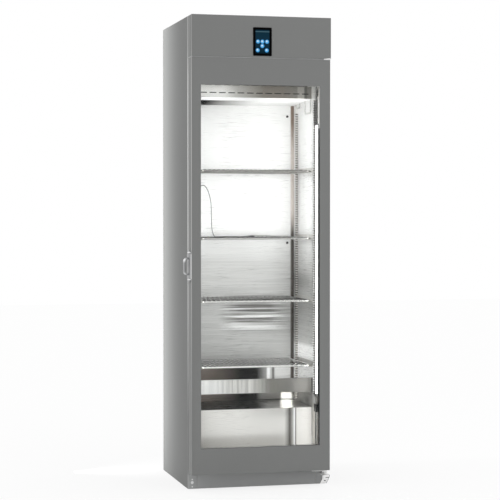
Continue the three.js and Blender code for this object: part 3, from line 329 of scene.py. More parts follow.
class Look(Nodes):
    """A node material under construction. Its coordinates are the object's own, in metres."""

    def __init__(self, name, metal=0.0, specular=0.5, anisotropy=0.0):
        self.material = bpy.data.materials.new(name)
        self.material.use_nodes = True
        super().__init__(self.material.node_tree)
        self.output = self.tree.nodes["Material Output"]
        self.place = self.add("ShaderNodeTexCoord").outputs["Object"]
        self.shader = self.feed(self.tree.nodes["Principled BSDF"], {
            "Metallic": metal, "Specular IOR Level": specular, "Anisotropic": anisotropy})

    def done(self, colour, roughness, height=None, strength=0.0, distance=0.0):
        """Feeds the shader, with a bump if it has a height, and gives the material."""
        normal = height and self.add("ShaderNodeBump", {
            "Height": height, "Strength": strength, "Distance": distance}).outputs["Normal"]
        self.feed(self.shader, {"Base Color": colour, "Roughness": roughness, "Normal": normal})
        return self.material

    def noise(self, scale, detail=2.0, roughness=0.5, distortion=0.0):
        """Noise in features a metre: one number, or one along each axis."""
        scale = (scale,) * 3 if isinstance(scale, int) else scale
        place = self.add("ShaderNodeMapping", {"Vector": self.place, "Scale": scale}).outputs["Vector"]
        return self.add("ShaderNodeTexNoise", {"Vector": place, "Scale": 1, "Detail": detail,
                                               "Roughness": roughness, "Distortion": distortion}).outputs["Fac"]

    def axis(self, name):
        return self.add("ShaderNodeSeparateXYZ", {0: self.place}).outputs[name]

    def spread(self, source, low, high, start=0.3, end=0.7):
        """Maps a value from start…end to low…high."""
        return self.add("ShaderNodeMapRange", {"Value": source, "From Min": start, "From Max": end,
                                               "To Min": low, "To Max": high}).outputs["Result"]

    def times(self, one, other):
        return self.reckon("MULTIPLY", one, other)

    def near(self, axes, place, start, end):
        """1 close to a line or point given on two of the axes, falling to 0 between two distances."""
        squares = []
        for name, value in zip(axes, place):
            away = self.reckon("SUBTRACT", self.axis(name), value)
            squares.append(self.times(away, away))
        distance = self.reckon("SQRT", self.reckon("ADD", *squares))
        return self.spread(distance, 1, 0, start, end)

    def within(self, *limits):
        """1 inside a box given as (axis, low, high, softness), 0 outside it."""
        share = 1
        for name, low, high, soft in limits:
            place = self.axis(name)
            rise = self.spread(place, 0, 1, low - soft, low + soft)
            fall = self.spread(place, 1, 0, high - soft, high + soft)
            share = self.times(self.times(rise, fall), share)
        return share

    def blend(self, share, one, other):
        """Mixes two colours. Sockets 0, 6 and 7 are the mix node's factor and its two colours."""
        one, other = (linear(tone) if isinstance(tone, tuple) else tone for tone in (one, other))
        return self.add("ShaderNodeMix", {0: share, 6: one, 7: other}, data_type="RGBA").outputs[2]

    def fade(self, source, start, end, one, other):
        """One colour where the source is below start, changing to the other by its end."""
        return self.blend(self.spread(source, 0, 1, start, end), one, other)

    def ramp(self, source, colour, *steps):
        """A colour that changes along the source, by steps of (start, end, next colour)."""
        for start, end, other in steps:
            colour = self.fade(source, start, end, colour, other)
        return colour

    def cloud(self, noise, one, other):
        """Two colours mixed by a noise."""
        return self.blend(self.spread(noise, 0, 1), one, other)

    def tint(self, colour, *tones):
        """Lays each tone over the colour inside its box. A tone is (shade, limits…)."""
        for shade, *limits in tones:
            colour = self.blend(self.within(*limits), colour, shade)
        return colour


# Painted light and shade by place on the object, as (shade, then limits as (axis, low, high, softness))

# The body's and the door's upright bends, where the coat takes painted highlights, and how far these reach
BODY_BENDS = ((-0.300, -0.268), (0.300, -0.268))
FRONT_BEND = (-0.300, -0.3435)
BEND_REACH = (0.003, 0.006)
# The left side takes painted shade, and by the handle the door's bend takes a brighter painted highlight. The
# plinth is painted paler to lift its shade.
LEFT_SIDE = (("X", -0.4, -0.2992, 0.0002), ("Y", -0.266, 0.4, 0.002))
BY_HANDLE = ("Z", 0.880, 0.996, 0.006)
PLINTH_LIGHT = ((166, 167, 167), ("Z", -0.1, 0.062, 0.006), ("Y", -0.4, -0.262, 0.002))

LAMP_TOP = 1.517
BELOW_LAMP = ("Z", 0.1, 0.345, 0.004)
JAMB_FACE = ("X", 0.2535, 0.2555, 0.0003)
ABOVE_LAMP = ("Z", LAMP_TOP, 1.68, 0.003)

WALL_LIGHT_AND_SHADE = (
    # painted shade behind the deflector
    ((138, 136, 133), ("Z", 0.2, 0.392, 0.003), ("Y", -0.222, 0.3, 0.002)),
    # painted shade in front of the base cover, and darker painted shade at the wall's front edge
    ((172, 169, 164), BELOW_LAMP, ("Y", -0.258, -0.218, 0.002)),
    ((44, 42, 40), BELOW_LAMP, ("Y", -0.280, -0.260, 0.001)),
    # painted shade between shelves 2 and 3, and painted light between the deflector and shelf 4
    ((150, 149, 147), ("Z", 0.82, 0.90, 0.03), ("Y", -0.2, 0.1, 0.04)),
    ((255, 255, 254), ("Z", 0.41, 0.585, 0.008), ("Y", -0.4, 0.12, 0.02)),
)
PANEL_COVE = (0.2445, 0.2470)
# Where the back panel takes a rippled painted reflection, painted shade low down, painted reflection stripes
# and a paler painted reflection at its foot
PANEL_RIPPLE_REFLECTIONS = (("Z", 0.635, 0.790, 0.02), ("X", -0.04, 0.20, 0.05))
PANEL_DEEP_SHADE = (("Z", 0.2, 0.472, 0.006), ("X", -0.3, 0.118, 0.03))
LOWEST_BAY = ("Z", 0.36, 0.472, 0.006)
PANEL_REFLECTIONS = (((70, 67, 64), LOWEST_BAY, ("X", 0.160, 0.170, 0.005)),
                 ((254, 254, 254), LOWEST_BAY, ("X", 0.136, 0.150, 0.003)))
PANEL_FOOT = (("Z", 0.2, 0.362, 0.002), ("X", 0.105, 0.30, 0.02))
# Painted reflection stripes on the duct's front, its underside that is painted bright, and the painted shadow
# at the underside's rear
DUCT_REFLECTIONS = (((198, 194, 188), ("X", 0.188, 0.219, 0.003)),
                ((98, 95, 90), ("X", 0.219, 0.231, 0.003)),
                ((250, 249, 246), ("X", 0.250, 0.260, 0.001)))
DUCT_UNDERSIDE = ("Y", -0.226, 0.3, 0.001)
DUCT_SHADOW = ("Y", -0.105, 0.3, 0.012)
# Painted reflections near the right end of the base cover: a dark band, a bright line and a thin dark line
COVER_SEAM_REFLECTIONS = (((92, 89, 84), ("X", 0.148, 0.172, 0.012)),
              ((250, 250, 250), ("X", 0.1765, 0.1835, 0.001)),
              ((120, 116, 112), ("X", 0.1845, 0.1885, 0.001)))
# Painted shade on the jamb below the lamp
JAMB_FOOT_SHADE = ((90, 87, 84), JAMB_FACE, ("Y", -0.33, -0.275, 0.003), BELOW_LAMP)
# Painted highlight on the right spacer bar above the lamp
SPACER_TOP_HIGHLIGHT = ((225, 224, 222), ("X", 0.2, 0.3, 0.001), ("Z", LAMP_TOP, 1.8, 0.003))
# Painted light that pales the tooth shade at the top of the front racks
FRONT_RACK_TOP_LIGHT = ((196, 192, 188), ("Y", -0.4, -0.2, 0.001), ("Z", LAMP_TOP, 1.8, 0.004))
# Painted shade on the lower bracket: darker at its right end, and a painted shadow line under its arm's plate
BRACKET_SHADE = (
    ((150, 152, 152), ("X", 0.2965, 0.31, 0.0006), ("Z", -0.1, 0.07, 0.001)),
    ((96, 98, 98), ("X", 0.282, 0.31, 0.001), ("Z", 0.0350, 0.0392, 0.0005), ("Y", -0.35, -0.33, 0.002)),
)
# Painted highlights on the handle: its front edge and the two corners of its pull
HANDLE_HIGHLIGHTS = (("XY", (-0.3003, -0.3460), 0.003, 0.005, (214, 215, 215)),
                 ("XZ", (-0.3270, 0.9640), 0.002, 0.012, (232, 233, 234)),
                 ("XZ", (-0.3250, 0.9050), 0.001, 0.010, (196, 197, 198)))

# Pitch and lowest tooth of the racks' painted tooth shade
RACK_PITCH = 0.01025
LOWEST_TOOTH = 0.3833
# The steel's own streak and brushing colours
STREAK = (40, 40, 40)
BRUSHING = (60, 60, 58)


def paint_look():
    """Satin powder coat: an even grey with a fine orange peel, with painted highlights along its upright bends,
    brighter by the handle, a plinth painted paler against its shade, and painted shade on its left side.
    """
    look = Look("satin_paint", specular=0.2)
    patches = look.noise((2.5, 2.5, 1.5), 3)
    grey = look.cloud(patches, (121, 122, 121), (123, 124, 123))
    coat = look.blend(look.spread(look.noise(900, 1), 0, 0.12), grey, (112, 113, 113))
    height = look.axis("Z")
    # Painted highlights along the bends, weaker low down and towards the top
    bend_light = look.times(look.spread(height, 0.15, 1, 0.3, 0.95), look.spread(height, 1, 0.5, 1.7, 1.9))
    bends = [(place, (222, 223, 222)) for place in BODY_BENDS] + [(FRONT_BEND, (184, 185, 184))]
    for place, shade in bends:
        coat = look.blend(look.times(look.near("XY", place, *BEND_REACH), bend_light), coat, shade)
    # Painted light: a paler plinth
    coat = look.tint(coat, PLINTH_LIGHT)
    # Painted shade on the left side, darker towards the front
    shaded = look.blend(look.spread(look.axis("Y"), 0.1, 0.03, -0.26, 0.26), coat, (0, 0, 0))
    coat = look.blend(look.within(*LEFT_SIDE), coat, shaded)
    # A brighter painted highlight on the door's bend by the handle
    by_handle = look.times(look.near("XY", FRONT_BEND, *BEND_REACH), look.within(BY_HANDLE))
    coat = look.blend(by_handle, coat, (206, 207, 207))
    return look.done(coat, look.spread(patches, 0.46, 0.54), look.noise(650, 1), 0.08, 0.0001)


def steel_look(name, tone, grain, rough, metal, anisotropy, lines, bands=None, painted_marks=None, specular=0.5,
               painted_tones=()):
    """Brushed stainless steel. Grain gives how fine the brushing is along each axis, a metre. Painted marks and
    painted tones lay painted light and shade over it.
    """
    look = Look(name, metal=metal, anisotropy=anisotropy, specular=specular)
    streaks = look.noise(grain, 3, 0.6)
    clouds = look.noise((5, 5, 3.4), 2, 0.5, 0.4)
    colour = look.cloud(clouds, tone, linear(tone, 0.96))
    colour = look.blend(look.spread(streaks, 0, lines), colour, STREAK)
    if bands:
        broad = look.noise(bands[0], 2, 0.6)
        colour = look.blend(look.spread(broad, 0, bands[1], 0.35, 0.65), colour, BRUSHING)
    if painted_marks:
        colour = painted_marks(look, colour)
    colour = look.tint(colour, *painted_tones)
    rough = look.reckon("ADD", look.spread(streaks, *rough), look.spread(clouds, -0.02, 0.02))
    return look.done(colour, rough, streaks, 0.25, 0.00002)


def low_shade_and_brushing(look, colour):
    """Low in the chamber the steel takes painted shade, darker towards the bottom, and its brushing shows."""
    # Painted shade, darker below about 1.1 m
    darker_tone = look.spread(look.axis("Z"), 0.8, 0, 0.93, 1.09)
    colour = look.blend(darker_tone, colour, (194, 194, 192))
    lines = look.spread(look.noise((2.5, 2.5, 130), 2, 0.6), 0, 0.16, 0.38, 0.62)
    return look.blend(look.times(lines, darker_tone), colour, BRUSHING)


def duct_panel_light_and_shade(look, colour):
    """The back panel takes painted reflections and shade: dark to brown in its coves, a rippled painted
    reflection under shelf 3, and painted shade low down with painted reflection stripes and a paler painted
    reflection at its right foot.
    """
    height, across = look.axis("Z"), look.reckon("ABSOLUTE", look.axis("X"))
    colour = low_shade_and_brushing(look, colour)
    # Painted reflection and shade in the coves: dark low down, pale at mid height, brown at the top
    cove_reflection = look.ramp(height, (252, 252, 251), (0.358, 0.364, (84, 77, 73)), (1.06, 1.16, (204, 195, 188)),
                      (1.42, 1.56, (134, 116, 104)))
    colour = look.fade(across, *PANEL_COVE, colour, cove_reflection)
    # A rippled painted reflection under shelf 3
    reflection_noise = look.noise((1.6, 1.6, 85), 2, 0.5, 0.3)
    ripple_reflection = look.fade(reflection_noise, 0.40, 0.60, (112, 110, 107), (250, 250, 249))
    # Painted shade low down, darker to the right
    deep_shade = look.fade(look.axis("X"), -0.14, 0.02, (150, 138, 130), (34, 31, 29))
    # A paler painted reflection at the right foot, dark at its lowest
    foot = look.fade(height, 0.3255, 0.3285, (52, 50, 48), (146, 144, 140))
    return look.tint(colour, (ripple_reflection, *PANEL_RIPPLE_REFLECTIONS), (deep_shade, *PANEL_DEEP_SHADE), *PANEL_REFLECTIONS,
                     (foot, *PANEL_FOOT))


def duct_light_and_shade(look, colour):
    """Painted light on the duct: its front is paler to the left, with painted reflection stripes at the right.
    Its underside is painted bright, with a painted shadow at the rear left.
    """
    across = look.axis("X")
    # Painted light: the front paler to the left
    front_light = look.ramp(across, (255, 254, 251), (-0.14, 0.04, (138, 129, 118)), (0.12, 0.2, (146, 142, 135)))
    front_light = look.tint(front_light, *DUCT_REFLECTIONS)
    # Painted light on the underside
    below = look.fade(across, -0.02, 0.08, (236, 236, 237), (250, 250, 249))
    # Painted shadow at the underside's rear left
    patch = look.ramp(across, (3, 3, 3), (-0.166, -0.105, (142, 141, 140)), (-0.105, 0.06, (247, 247, 246)))
    return look.tint(look.blend(0.85, colour, front_light), (below, DUCT_UNDERSIDE), (patch, DUCT_SHADOW))


def deflector_light_and_shade(look, colour):
    """The deflector takes painted light at its left end and painted shade towards its right end, darkest at the
    end itself.
    """
    across = look.axis("X")
    dark = look.ramp(across, (126, 124, 118), (0.09, 0.16, (118, 116, 112)), (0.250, 0.254, (60, 58, 55)))
    colour = look.blend(look.spread(across, 0.6, 0, -0.17, -0.11), colour, (255, 255, 254))
    return look.blend(look.spread(across, 0, 0.95, -0.03, 0.07), colour, dark)


def cover_reflections(look, colour):
    """The base cover takes painted reflections near its right end: a dark band, a bright line and a thin dark
    line. The deck on top is painted as a dark reflection at the left, paler at the right.
    """
    deck = look.fade(look.axis("X"), 0.05, 0.10, (64, 62, 60), (160, 158, 154))
    return look.fade(look.axis("Z"), 0.3212, 0.3226, look.tint(colour, *COVER_SEAM_REFLECTIONS), deck)


def frame_light_and_shade(look, colour):
    """The door frame's right jamb takes painted shade above and below the lamp, and a painted highlight by the
    glass above it.
    """
    shade = look.fade(look.axis("Y"), -0.315, -0.309, (250, 250, 249), (58, 55, 52))
    return look.tint(colour, (shade, JAMB_FACE, ("Y", -0.34, -0.275, 0.003), ABOVE_LAMP), JAMB_FOOT_SHADE)


def rack_shade(look, colour):
    """A rack takes painted shade at the tip of each tooth, and not between them. At the top of the front racks
    the painted shade is pale.
    """
    lift = look.reckon("SUBTRACT", look.axis("Z"), LOWEST_TOOTH)
    wave = look.reckon("SINE", look.times(lift, 2 * math.pi / RACK_PITCH))
    return look.fade(wave, -0.25, 0.25, colour, look.tint((70, 66, 62), FRONT_RACK_TOP_LIGHT))


def handle_highlights(look, colour):
    # Lays the painted highlights on the handle
    for axes, place, start, end, shade in HANDLE_HIGHLIGHTS:
        colour = look.blend(look.near(axes, place, start, end), colour, shade)
    return colour


def wire_look(name="bright_wire", bright=(226, 226, 224), darker_tone=(206, 205, 202), low=None):
    """Electropolished wire with a faint drawn line. Low is a paler tone painted on the lower shelves as the
    light falling there, if another.
    """
    look = Look(name, metal=1.0, anisotropy=0.2)
    drawn = look.noise((60, 60, 900), 2)
    colour = look.cloud(drawn, bright, darker_tone)
    if low:
        colour = look.fade(look.axis("Z"), 0.6, 1.3, low, colour)
    return look.done(colour, look.spread(drawn, 0.14, 0.24), drawn, 0.1, 0.00002)


def grained_look(name, tone, rough, grain, patches, depth, relief, painted_marks, painted_tones, **surface):
    """A clouded tone with a fine even grain, under the painted light and shade of any painted marks and tones.
    """
    look = Look(name, **surface)
    texture = look.noise(grain, 2)
    colour = look.cloud(look.noise(patches, 2), tone, linear(tone, depth))
    if painted_marks:
        colour = painted_marks(look, colour)
    colour = look.tint(colour, *painted_tones)
    return look.done(colour, look.spread(texture, *rough), texture, 0.2, relief)


def plastic_look(name, tone, rough=(0.35, 0.5), grain=800, specular=0.4, painted_tones=()):
    """Moulded plastic or rubber with a spark-eroded texture."""
    return grained_look(name, tone, rough, grain, 14, 0.78, 0.00005, None, painted_tones, specular=specular)


def metal_look(name, tone, rough, metal, painted_marks=None, painted_tones=()):
    """Cast or plated metal with a blasted grain."""
    return grained_look(name, tone, rough, 1300, 25, 0.85, 0.00004, painted_marks, painted_tones, metal=metal)


def galvanised_look():
    """Zinc-coated sheet with its crystal spangle."""
    look = Look("galvanised", metal=0.85)
    cells = look.add("ShaderNodeTexVoronoi", {"Vector": look.place, "Scale": 90}).outputs["Color"]
    red = look.add("ShaderNodeSeparateColor", {"Color": cells}).outputs["Red"]
    share = look.reckon("ADD", look.times(red, 0.7), look.times(look.noise(240, 2), 0.3))
    colour = look.blend(share, (164, 168, 171), (196, 199, 201))
    return look.done(colour, look.spread(share, 0.34, 0.55, 0, 1), share, 0.15, 0.00005)


def glass_look():
    """Clear pane: what is behind shows, faintly tinted, under a reflection that grows at grazing angles."""
    look = Look("glass")
    smears = look.noise((7, 7, 3), 3, 0.6)
    look.done(look.cloud(smears, (226, 236, 234), (216, 230, 228)), look.spread(smears, 0.015, 0.05))
    clear = look.add("ShaderNodeBsdfTransparent", {"Color": (0.996, 0.998, 0.997, 1)})
    facing = look.add("ShaderNodeLayerWeight", {"Blend": 0.25}).outputs["Facing"]
    look.mix_shaders(look.spread(facing, 0.006, 0.3, 0.2, 1), clear, look.shader, look.output)
    return look.material


def diffuser_look(strength=4.0):
    """A lit diffuser with slightly brighter spots where the diodes sit."""
    look = Look("led_diffuser")
    spots = look.add("ShaderNodeTexWave", {"Vector": look.place, "Scale": 9}, wave_type="BANDS",
                     bands_direction="Z").outputs["Fac"]
    look.feed(look.shader, {"Emission Color": (1, 1, 1, 1),
                            "Emission Strength": look.spread(spots, 0.9 * strength, strength, 0, 1)})
    return look.done(look.blend(spots, (250, 250, 248), (238, 240, 240)),
                     look.spread(spots, 0.4, 0.5, 0, 1))


def screen_look():
    """Dark glass over a blue picture, with a pale status strip."""
    look = Look("screen_glass", specular=0.05)
    height = look.axis("Z")
    pixels = look.noise(1500, 1)
    colour = look.ramp(height, (2, 34, 48), (1.828, 1.862, (12, 46, 64)), (1.880, 1.912, (8, 44, 60)))
    colour = look.tint(colour, ((70, 100, 112), ("Z", 1.9125, 1.9165, 0.0008)))
    colour = look.blend(look.spread(pixels, 0, 0.15), colour, (0, 10, 16))
    return look.done(colour, look.spread(pixels, 0.12, 0.18))


def button_look(number, x, z):
    """Glass button: a painted highlight, white near its upper left, over a blue that is darker towards its rim.
    """
    look = Look(f"display_button_{number}", specular=0.12)
    # Painted highlight
    shine = look.near("XZ", (x - 0.0012, z + 0.0016), 0.0004, 0.0052)
    blue = look.blend(look.near("XZ", (x, z), 0.0056, 0.0090), (30, 112, 178), (86, 176, 232))
    return look.done(look.blend(shine, blue, (236, 246, 252)), look.spread(look.noise(300, 1), 0.12, 0.2))


def foam_look():
    look = Look("foam", specular=0.2)
    cells = look.noise(420, 3)
    colour = look.cloud(cells, (228, 218, 172), (206, 192, 140))
    return look.done(colour, look.spread(cells, 0.85, 0.98), cells, 0.6, 0.0004)


# Lead of the core probe: the route of the part's source, from the gland to the boot

GLAND_LOW, GLAND_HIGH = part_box("probe_gland")
PROBE_Y = -0.190
GLAND_Z = (GLAND_LOW.z + GLAND_HIGH.z) / 2
ROUTE_START = GLAND_HIGH.x + 0.3 * MM
LIE_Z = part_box("shelf_2")[1].z + 1.8 * MM
CABLE_DIAMETER = 0.003
# Millimetres from the route's start, and then from the height where the lead lies on the shelf
WANDER = [
    (0, 0, 0), (8, 0, 1.6), (18, 0, 5.6), (28, 0, 8.6), (37, 0, 4.8), (43.5, 0, -4), (49, 0, -14),
    (53, 0, -25), (58, 0, -42), (62, 0.5, -63), (64, 1, -88), (65, 1.5, -118), (65.5, 2, -148),
    (67, 3, -173), (71, 4.5, -192),
]
SLACK = [
    (80, 7, 1.2), (94, 12, 0), (110, 19, 0), (127, 24, 0), (144, 25, 0), (160, 20, 0),
    (172, 12, 0), (182, 4, 0), (192, -3, 0), (203, -8, 0.6), (214, -10, 1.9), (224, -10, 2.5),
]
# Turned parts, as (distance along the axis, radius)
GLAND = ((0, 0.0069), (0.0022, 0.0069), (0.0026, 0.0062), (0.0092, 0.0062), (0.0100, 0.0056),
         (0.0112, 0.0042), (0.0120, 0.0026))
BOOT_START, BOOT_END = ((0, 0.0019), (0.001, 0.0023)), ((0.0135, 0.0033), (0.0235, 0.0035), (0.0240, 0.0031))
RIBS = 5
RIB_PITCH = 0.0022
RIB_GROWTH = 0.00016


def probe_route():
    return [Vector((ROUTE_START + x * MM, PROBE_Y + y * MM, base + z * MM))
            for points, base in ((WANDER, GLAND_Z), (SLACK, LIE_Z)) for x, y, z in points]


def at(t, start, end, one, other):
    """The point at t on a straight line from one at the start to the other at the end."""
    return one * ((end - t) / (end - start)) + other * ((t - start) / (end - start))


def smooth_line(points, steps):
    """Centripetal Catmull-Rom line through the points, with its end tangents carried straight on."""
    ends = [2 * points[0] - points[1], *points, 2 * points[-1] - points[-2]]
    line = []
    for a, b, c, d in zip(ends, ends[1:], ends[2:], ends[3:]):
        t0 = 0.0
        t1 = t0 + math.sqrt((b - a).length)
        t2 = t1 + math.sqrt((c - b).length)
        t3 = t2 + math.sqrt((d - c).length)
        for step in range(steps):
            t = t1 + (t2 - t1) * step / steps
            one, two, three = at(t, t0, t1, a, b), at(t, t1, t2, b, c), at(t, t2, t3, c, d)
            line.append(at(t, t1, t2, at(t, t0, t2, one, two), at(t, t1, t3, two, three)))
    line.append(points[-1])
    return line


def add_probe(rubber, steel, gland_look):
    """The lead with its gland, boot and probe, all turned parts."""
    line = smooth_line(probe_route(), 8)
    curve = bpy.data.curves.new("probe_lead", "CURVE")
    curve.dimensions = "3D"
    spline = curve.splines.new("POLY")
    spline.points.add(len(line) - 1)
    for target, point in zip(spline.points, line):
        target.co = (*point, 1)
    curve.bevel_depth = CABLE_DIAMETER / 2
    curve.bevel_resolution = 5
    curve.use_fill_caps = True
    curve.materials.append(rubber)
    lead = add_object("probe_lead", curve)
    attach(lead, "cabinet")
    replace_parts(lead, "probe_cable")

    gland = lathe(GLAND, turned((GLAND_LOW.x, PROBE_Y, GLAND_Z), 0, "X"))
    gland_piece = keep("probe_gland_turned", gland, gland_look)
    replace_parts(gland_piece, "probe_gland")

    low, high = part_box("probe_boot")
    profile = list(BOOT_START)
    for rib in range(RIBS):
        base, growth = 0.002 + rib * RIB_PITCH, rib * RIB_GROWTH
        profile += [(base, 0.0023 + growth), (base + 0.0007, 0.0027 + growth), (base + 0.0014, 0.0023 + growth)]
    boot = lathe([*profile, *BOOT_END], turned((low.x, (low.y + high.y) / 2, (low.z + high.z) / 2), 0, "X"))
    boot_piece = keep("probe_boot_ribbed", boot, rubber)
    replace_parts(boot_piece, "probe_boot")

    dress("core_probe", steel, 0.0003)


# Wire shelves

SHELF_HALF_WIDTH = 0.2402
SHELF_HALF_LENGTH = 0.1635
ROD_RADIUS = 0.00395
ROD_CORNER = 0.016
ROD_SINK = 0.0036955
CROSS_BAR_RADIUS = 0.0025
CROSS_BAR_SHARES = (0.33, 0.67)
WIRE_RADIUS = 0.0017
WIRE_LIFT = 0.0046
WIRE_PITCH = 0.020
WIRE_OVERHANG = 0.002
WIRES_EACH_SIDE = 11


def add_shelf(number, look, fine_look):
    low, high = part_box(f"shelf_{number}")
    middle = Vector(((low.x + high.x) / 2, (low.y + high.y) / 2, low.z + ROD_SINK))
    geometry = bmesh.new()
    rim = rounded_rectangle(0, 0, SHELF_HALF_WIDTH, SHELF_HALF_LENGTH, ROD_CORNER, 8)
    rod(geometry, [middle + Vector((x, y, 0)) for x, y in rim], ROD_RADIUS, 20, closed=True)
    for share in CROSS_BAR_SHARES:
        y = (2 * share - 1) * SHELF_HALF_LENGTH
        ends = [middle + Vector((side * SHELF_HALF_WIDTH, y, 0)) for side in (-1, 1)]
        rod(geometry, ends, CROSS_BAR_RADIUS)
    frame_faces = set(geometry.faces)
    for place in range(-WIRES_EACH_SIDE, WIRES_EACH_SIDE + 1):
        ends = [middle + Vector((place * WIRE_PITCH, side * (SHELF_HALF_LENGTH + WIRE_OVERHANG), WIRE_LIFT))
                for side in (-1, 1)]
        rod(geometry, ends, WIRE_RADIUS, 14, rounded=0.0005)
    for face in geometry.faces:
        face.material_index = 0 if face in frame_faces else 1
    piece = keep(f"shelf_{number}_wires", geometry, look, f"shelf_{number}_body", 50)
    piece.data.materials.append(fine_look)
    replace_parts(piece, f"shelf_{number}")


# Air duct

SLOT_LENGTH = 0.030
SLOT_HEIGHT = 0.004
SLOT_PITCH = 0.0405
# Each row's lift over the bottom edge and its number of slots
SLOT_ROWS = ((0.0195, 12), (0.0525, 11))
SHEET = 0.0012
DUCT_HALF = 0.2577
DUCT_BOTTOM = 1.648
DUCT_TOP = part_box("air_duct_cover")[1].z
DUCT_FALL = 0.012
DUCT_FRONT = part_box("air_duct_cover")[0].y
PANEL_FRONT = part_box("back_duct_panel")[1].y - SHEET
DUCT_REAR = PANEL_FRONT - 0.0003
# The underside's rear corners are cut out for the panel's coves
NOTCH = 0.0125
SHADE_SHEET_MARGIN = 0.004
# Each cradle's name, its start and end behind the body's front, and how far it hangs down
CRADLES = (("front", 0.065016, 0.150012, 0.058), ("rear", 0.235008, 0.294984, 0.020))
CRADLE_BEND = 0.008
CRADLE_RADIUS = 0.0025
BODY_FRONT = -0.268


def duct_floor(y):
    """Height of the duct's sloping underside at a depth."""
    return DUCT_BOTTOM - DUCT_FALL * (y - DUCT_FRONT) / (DUCT_REAR - DUCT_FRONT)


def add_air_duct(look, dark):
    """Slotted front and sloping underside, with a black sheet behind the slots that stands in for the shade
    inside the duct.
    """
    low, high = DUCT_BOTTOM + SHEET, DUCT_TOP
    outlines = [[(-DUCT_HALF, low), (DUCT_HALF, low), (DUCT_HALF, high), (-DUCT_HALF, high)]]
    for lift, count in SLOT_ROWS:
        for column in range(count):
            x = (column - (count - 1) / 2) * SLOT_PITCH
            outlines.append(rounded_rectangle(x, DUCT_BOTTOM + lift, SLOT_LENGTH / 2, SLOT_HEIGHT / 2,
                                              SLOT_HEIGHT / 2 - 0.0001, 5))
    geometry = stand(plate("duct_front", outlines, SHEET), DUCT_FRONT + SHEET / 2)
    stations = [(DUCT_FRONT, DUCT_BOTTOM + 0.0004, DUCT_HALF), (DUCT_FRONT + 0.0005, DUCT_BOTTOM, DUCT_HALF)]
    for ahead, half in ((NOTCH, DUCT_HALF), (NOTCH - 0.0001, DUCT_HALF - NOTCH), (0, DUCT_HALF - NOTCH)):
        stations.append((DUCT_REAR - ahead, duct_floor(DUCT_REAR - ahead), half))
    rings = []
    for y, z, half in stations:
        upper = (max(y, DUCT_FRONT + 0.0006), z + SHEET)
        rings.append([(-half, y, z), (half, y, z), (half, *upper), (-half, *upper)])
    underside = bmesh.new()
    skin(underside, rings)
    merge(geometry, underside)
    # A black sheet stands in for the shade behind the slots
    half = DUCT_HALF - SHADE_SHEET_MARGIN
    shade_sheet = block((-half, DUCT_FRONT + SHADE_SHEET_MARGIN, DUCT_BOTTOM + 2 * SHADE_SHEET_MARGIN),
                   (half, DUCT_FRONT + SHADE_SHEET_MARGIN + 0.001, DUCT_TOP - SHADE_SHEET_MARGIN))
    keep("air_duct_shade_sheet", shade_sheet, dark)
    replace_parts(keep("air_duct_sheet", geometry, look), "air_duct_cover")


def add_cradles(look):
    """U-shaped rods under the duct that hold the hanging bars."""
    bend = CRADLE_BEND
    for side_name, side in SIDES:
        for place, start, end, drop in CRADLES:
            start, end = BODY_FRONT + start, BODY_FRONT + end
            low = duct_floor(start) - drop + bend
            line = [(start, duct_floor(start) + SHEET / 2), *quarter_circle(start + bend, low, bend, 2, 6),
                    *quarter_circle(end - bend, low, bend, 3, 6), (end, duct_floor(end) + SHEET / 2)]
            geometry = bmesh.new()
            rod(geometry, [(side * (DUCT_HALF - 0.005), *point) for point in line], CRADLE_RADIUS, 14,
                normal=(1, 0, 0))
            keep(f"bar_cradle_{place}_{side_name}", geometry, look)


# Door

BASE_CORNER = 0.020
BASE_THICKNESS = 0.008
# The base plate's soft edge, as (rise, how much smaller the outline is)
BASE_LAYERS = ((0, 0), (0.0056, 0), (0.0068, 0.0004), (0.0076, 0.0012), (BASE_THICKNESS, 0.0024))
PULL_HALF_HEIGHT = 0.037
PULL_THICKNESS = 0.007
PULL_WIDTH = 0.022
PULL_BEND = 0.012
HANDLE_SCREW = ((0, 0.0082), (0.0030, 0.0080), (0.0050, 0.0062), (0.0058, 0.0024))
HANDLE_SCREW_HEIGHTS = (0.993, 0.881)
LAMP_CAP = 0.006


def add_handle(look, screw_look):
    """Cast handle: a base plate with soft edges and a D-shaped pull that grows out of it."""
    low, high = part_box("door_handle")
    root, middle, half = high.x, (low + high) / 2, (high - low) / 2
    outline = rounded_rectangle(0, 0, half.y, half.z, BASE_CORNER, 10)
    geometry = bmesh.new()
    skin(geometry, [[(root - rise, middle.y + y * (1 - less / half.y), middle.z + z * (1 - less / half.z))
                     for y, z in outline] for rise, less in BASE_LAYERS])
    inside = root - BASE_THICKNESS / 2
    bend_x = low.x + PULL_THICKNESS / 2 + PULL_BEND
    reach = PULL_HALF_HEIGHT - PULL_THICKNESS / 2
    lower, upper = (quarter_circle(bend_x, middle.z + side * (reach - PULL_BEND), PULL_BEND, quarter, 8)
                    for side, quarter in ((-1, 2), (1, 1)))
    line = [(inside, middle.z - reach), *reversed(lower), *reversed(upper), (inside, middle.z + reach)]
    section = rounded_rectangle(0, 0, PULL_THICKNESS / 2, PULL_WIDTH / 2, 0.0026, 4)
    rings = []
    for index, (x, z) in enumerate(line):
        before, after = line[max(index - 1, 0)], line[min(index + 1, len(line) - 1)]
        heading = (Vector(after) - Vector(before)).normalized()
        rings.append([(x + heading.y * u, middle.y + v, z - heading.x * u) for u, v in section])
    skin(geometry, rings)
    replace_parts(keep("door_handle_casting", geometry, look, "door", 40), "door_handle")
    for number, z in enumerate(HANDLE_SCREW_HEIGHTS, 1):
        place = (root - BASE_THICKNESS + 0.0002, low.y + 0.0095, z)
        keep(f"handle_screw_{number}", lathe(HANDLE_SCREW, turned(place, -1, "Y"), 24), screw_look, body="door")


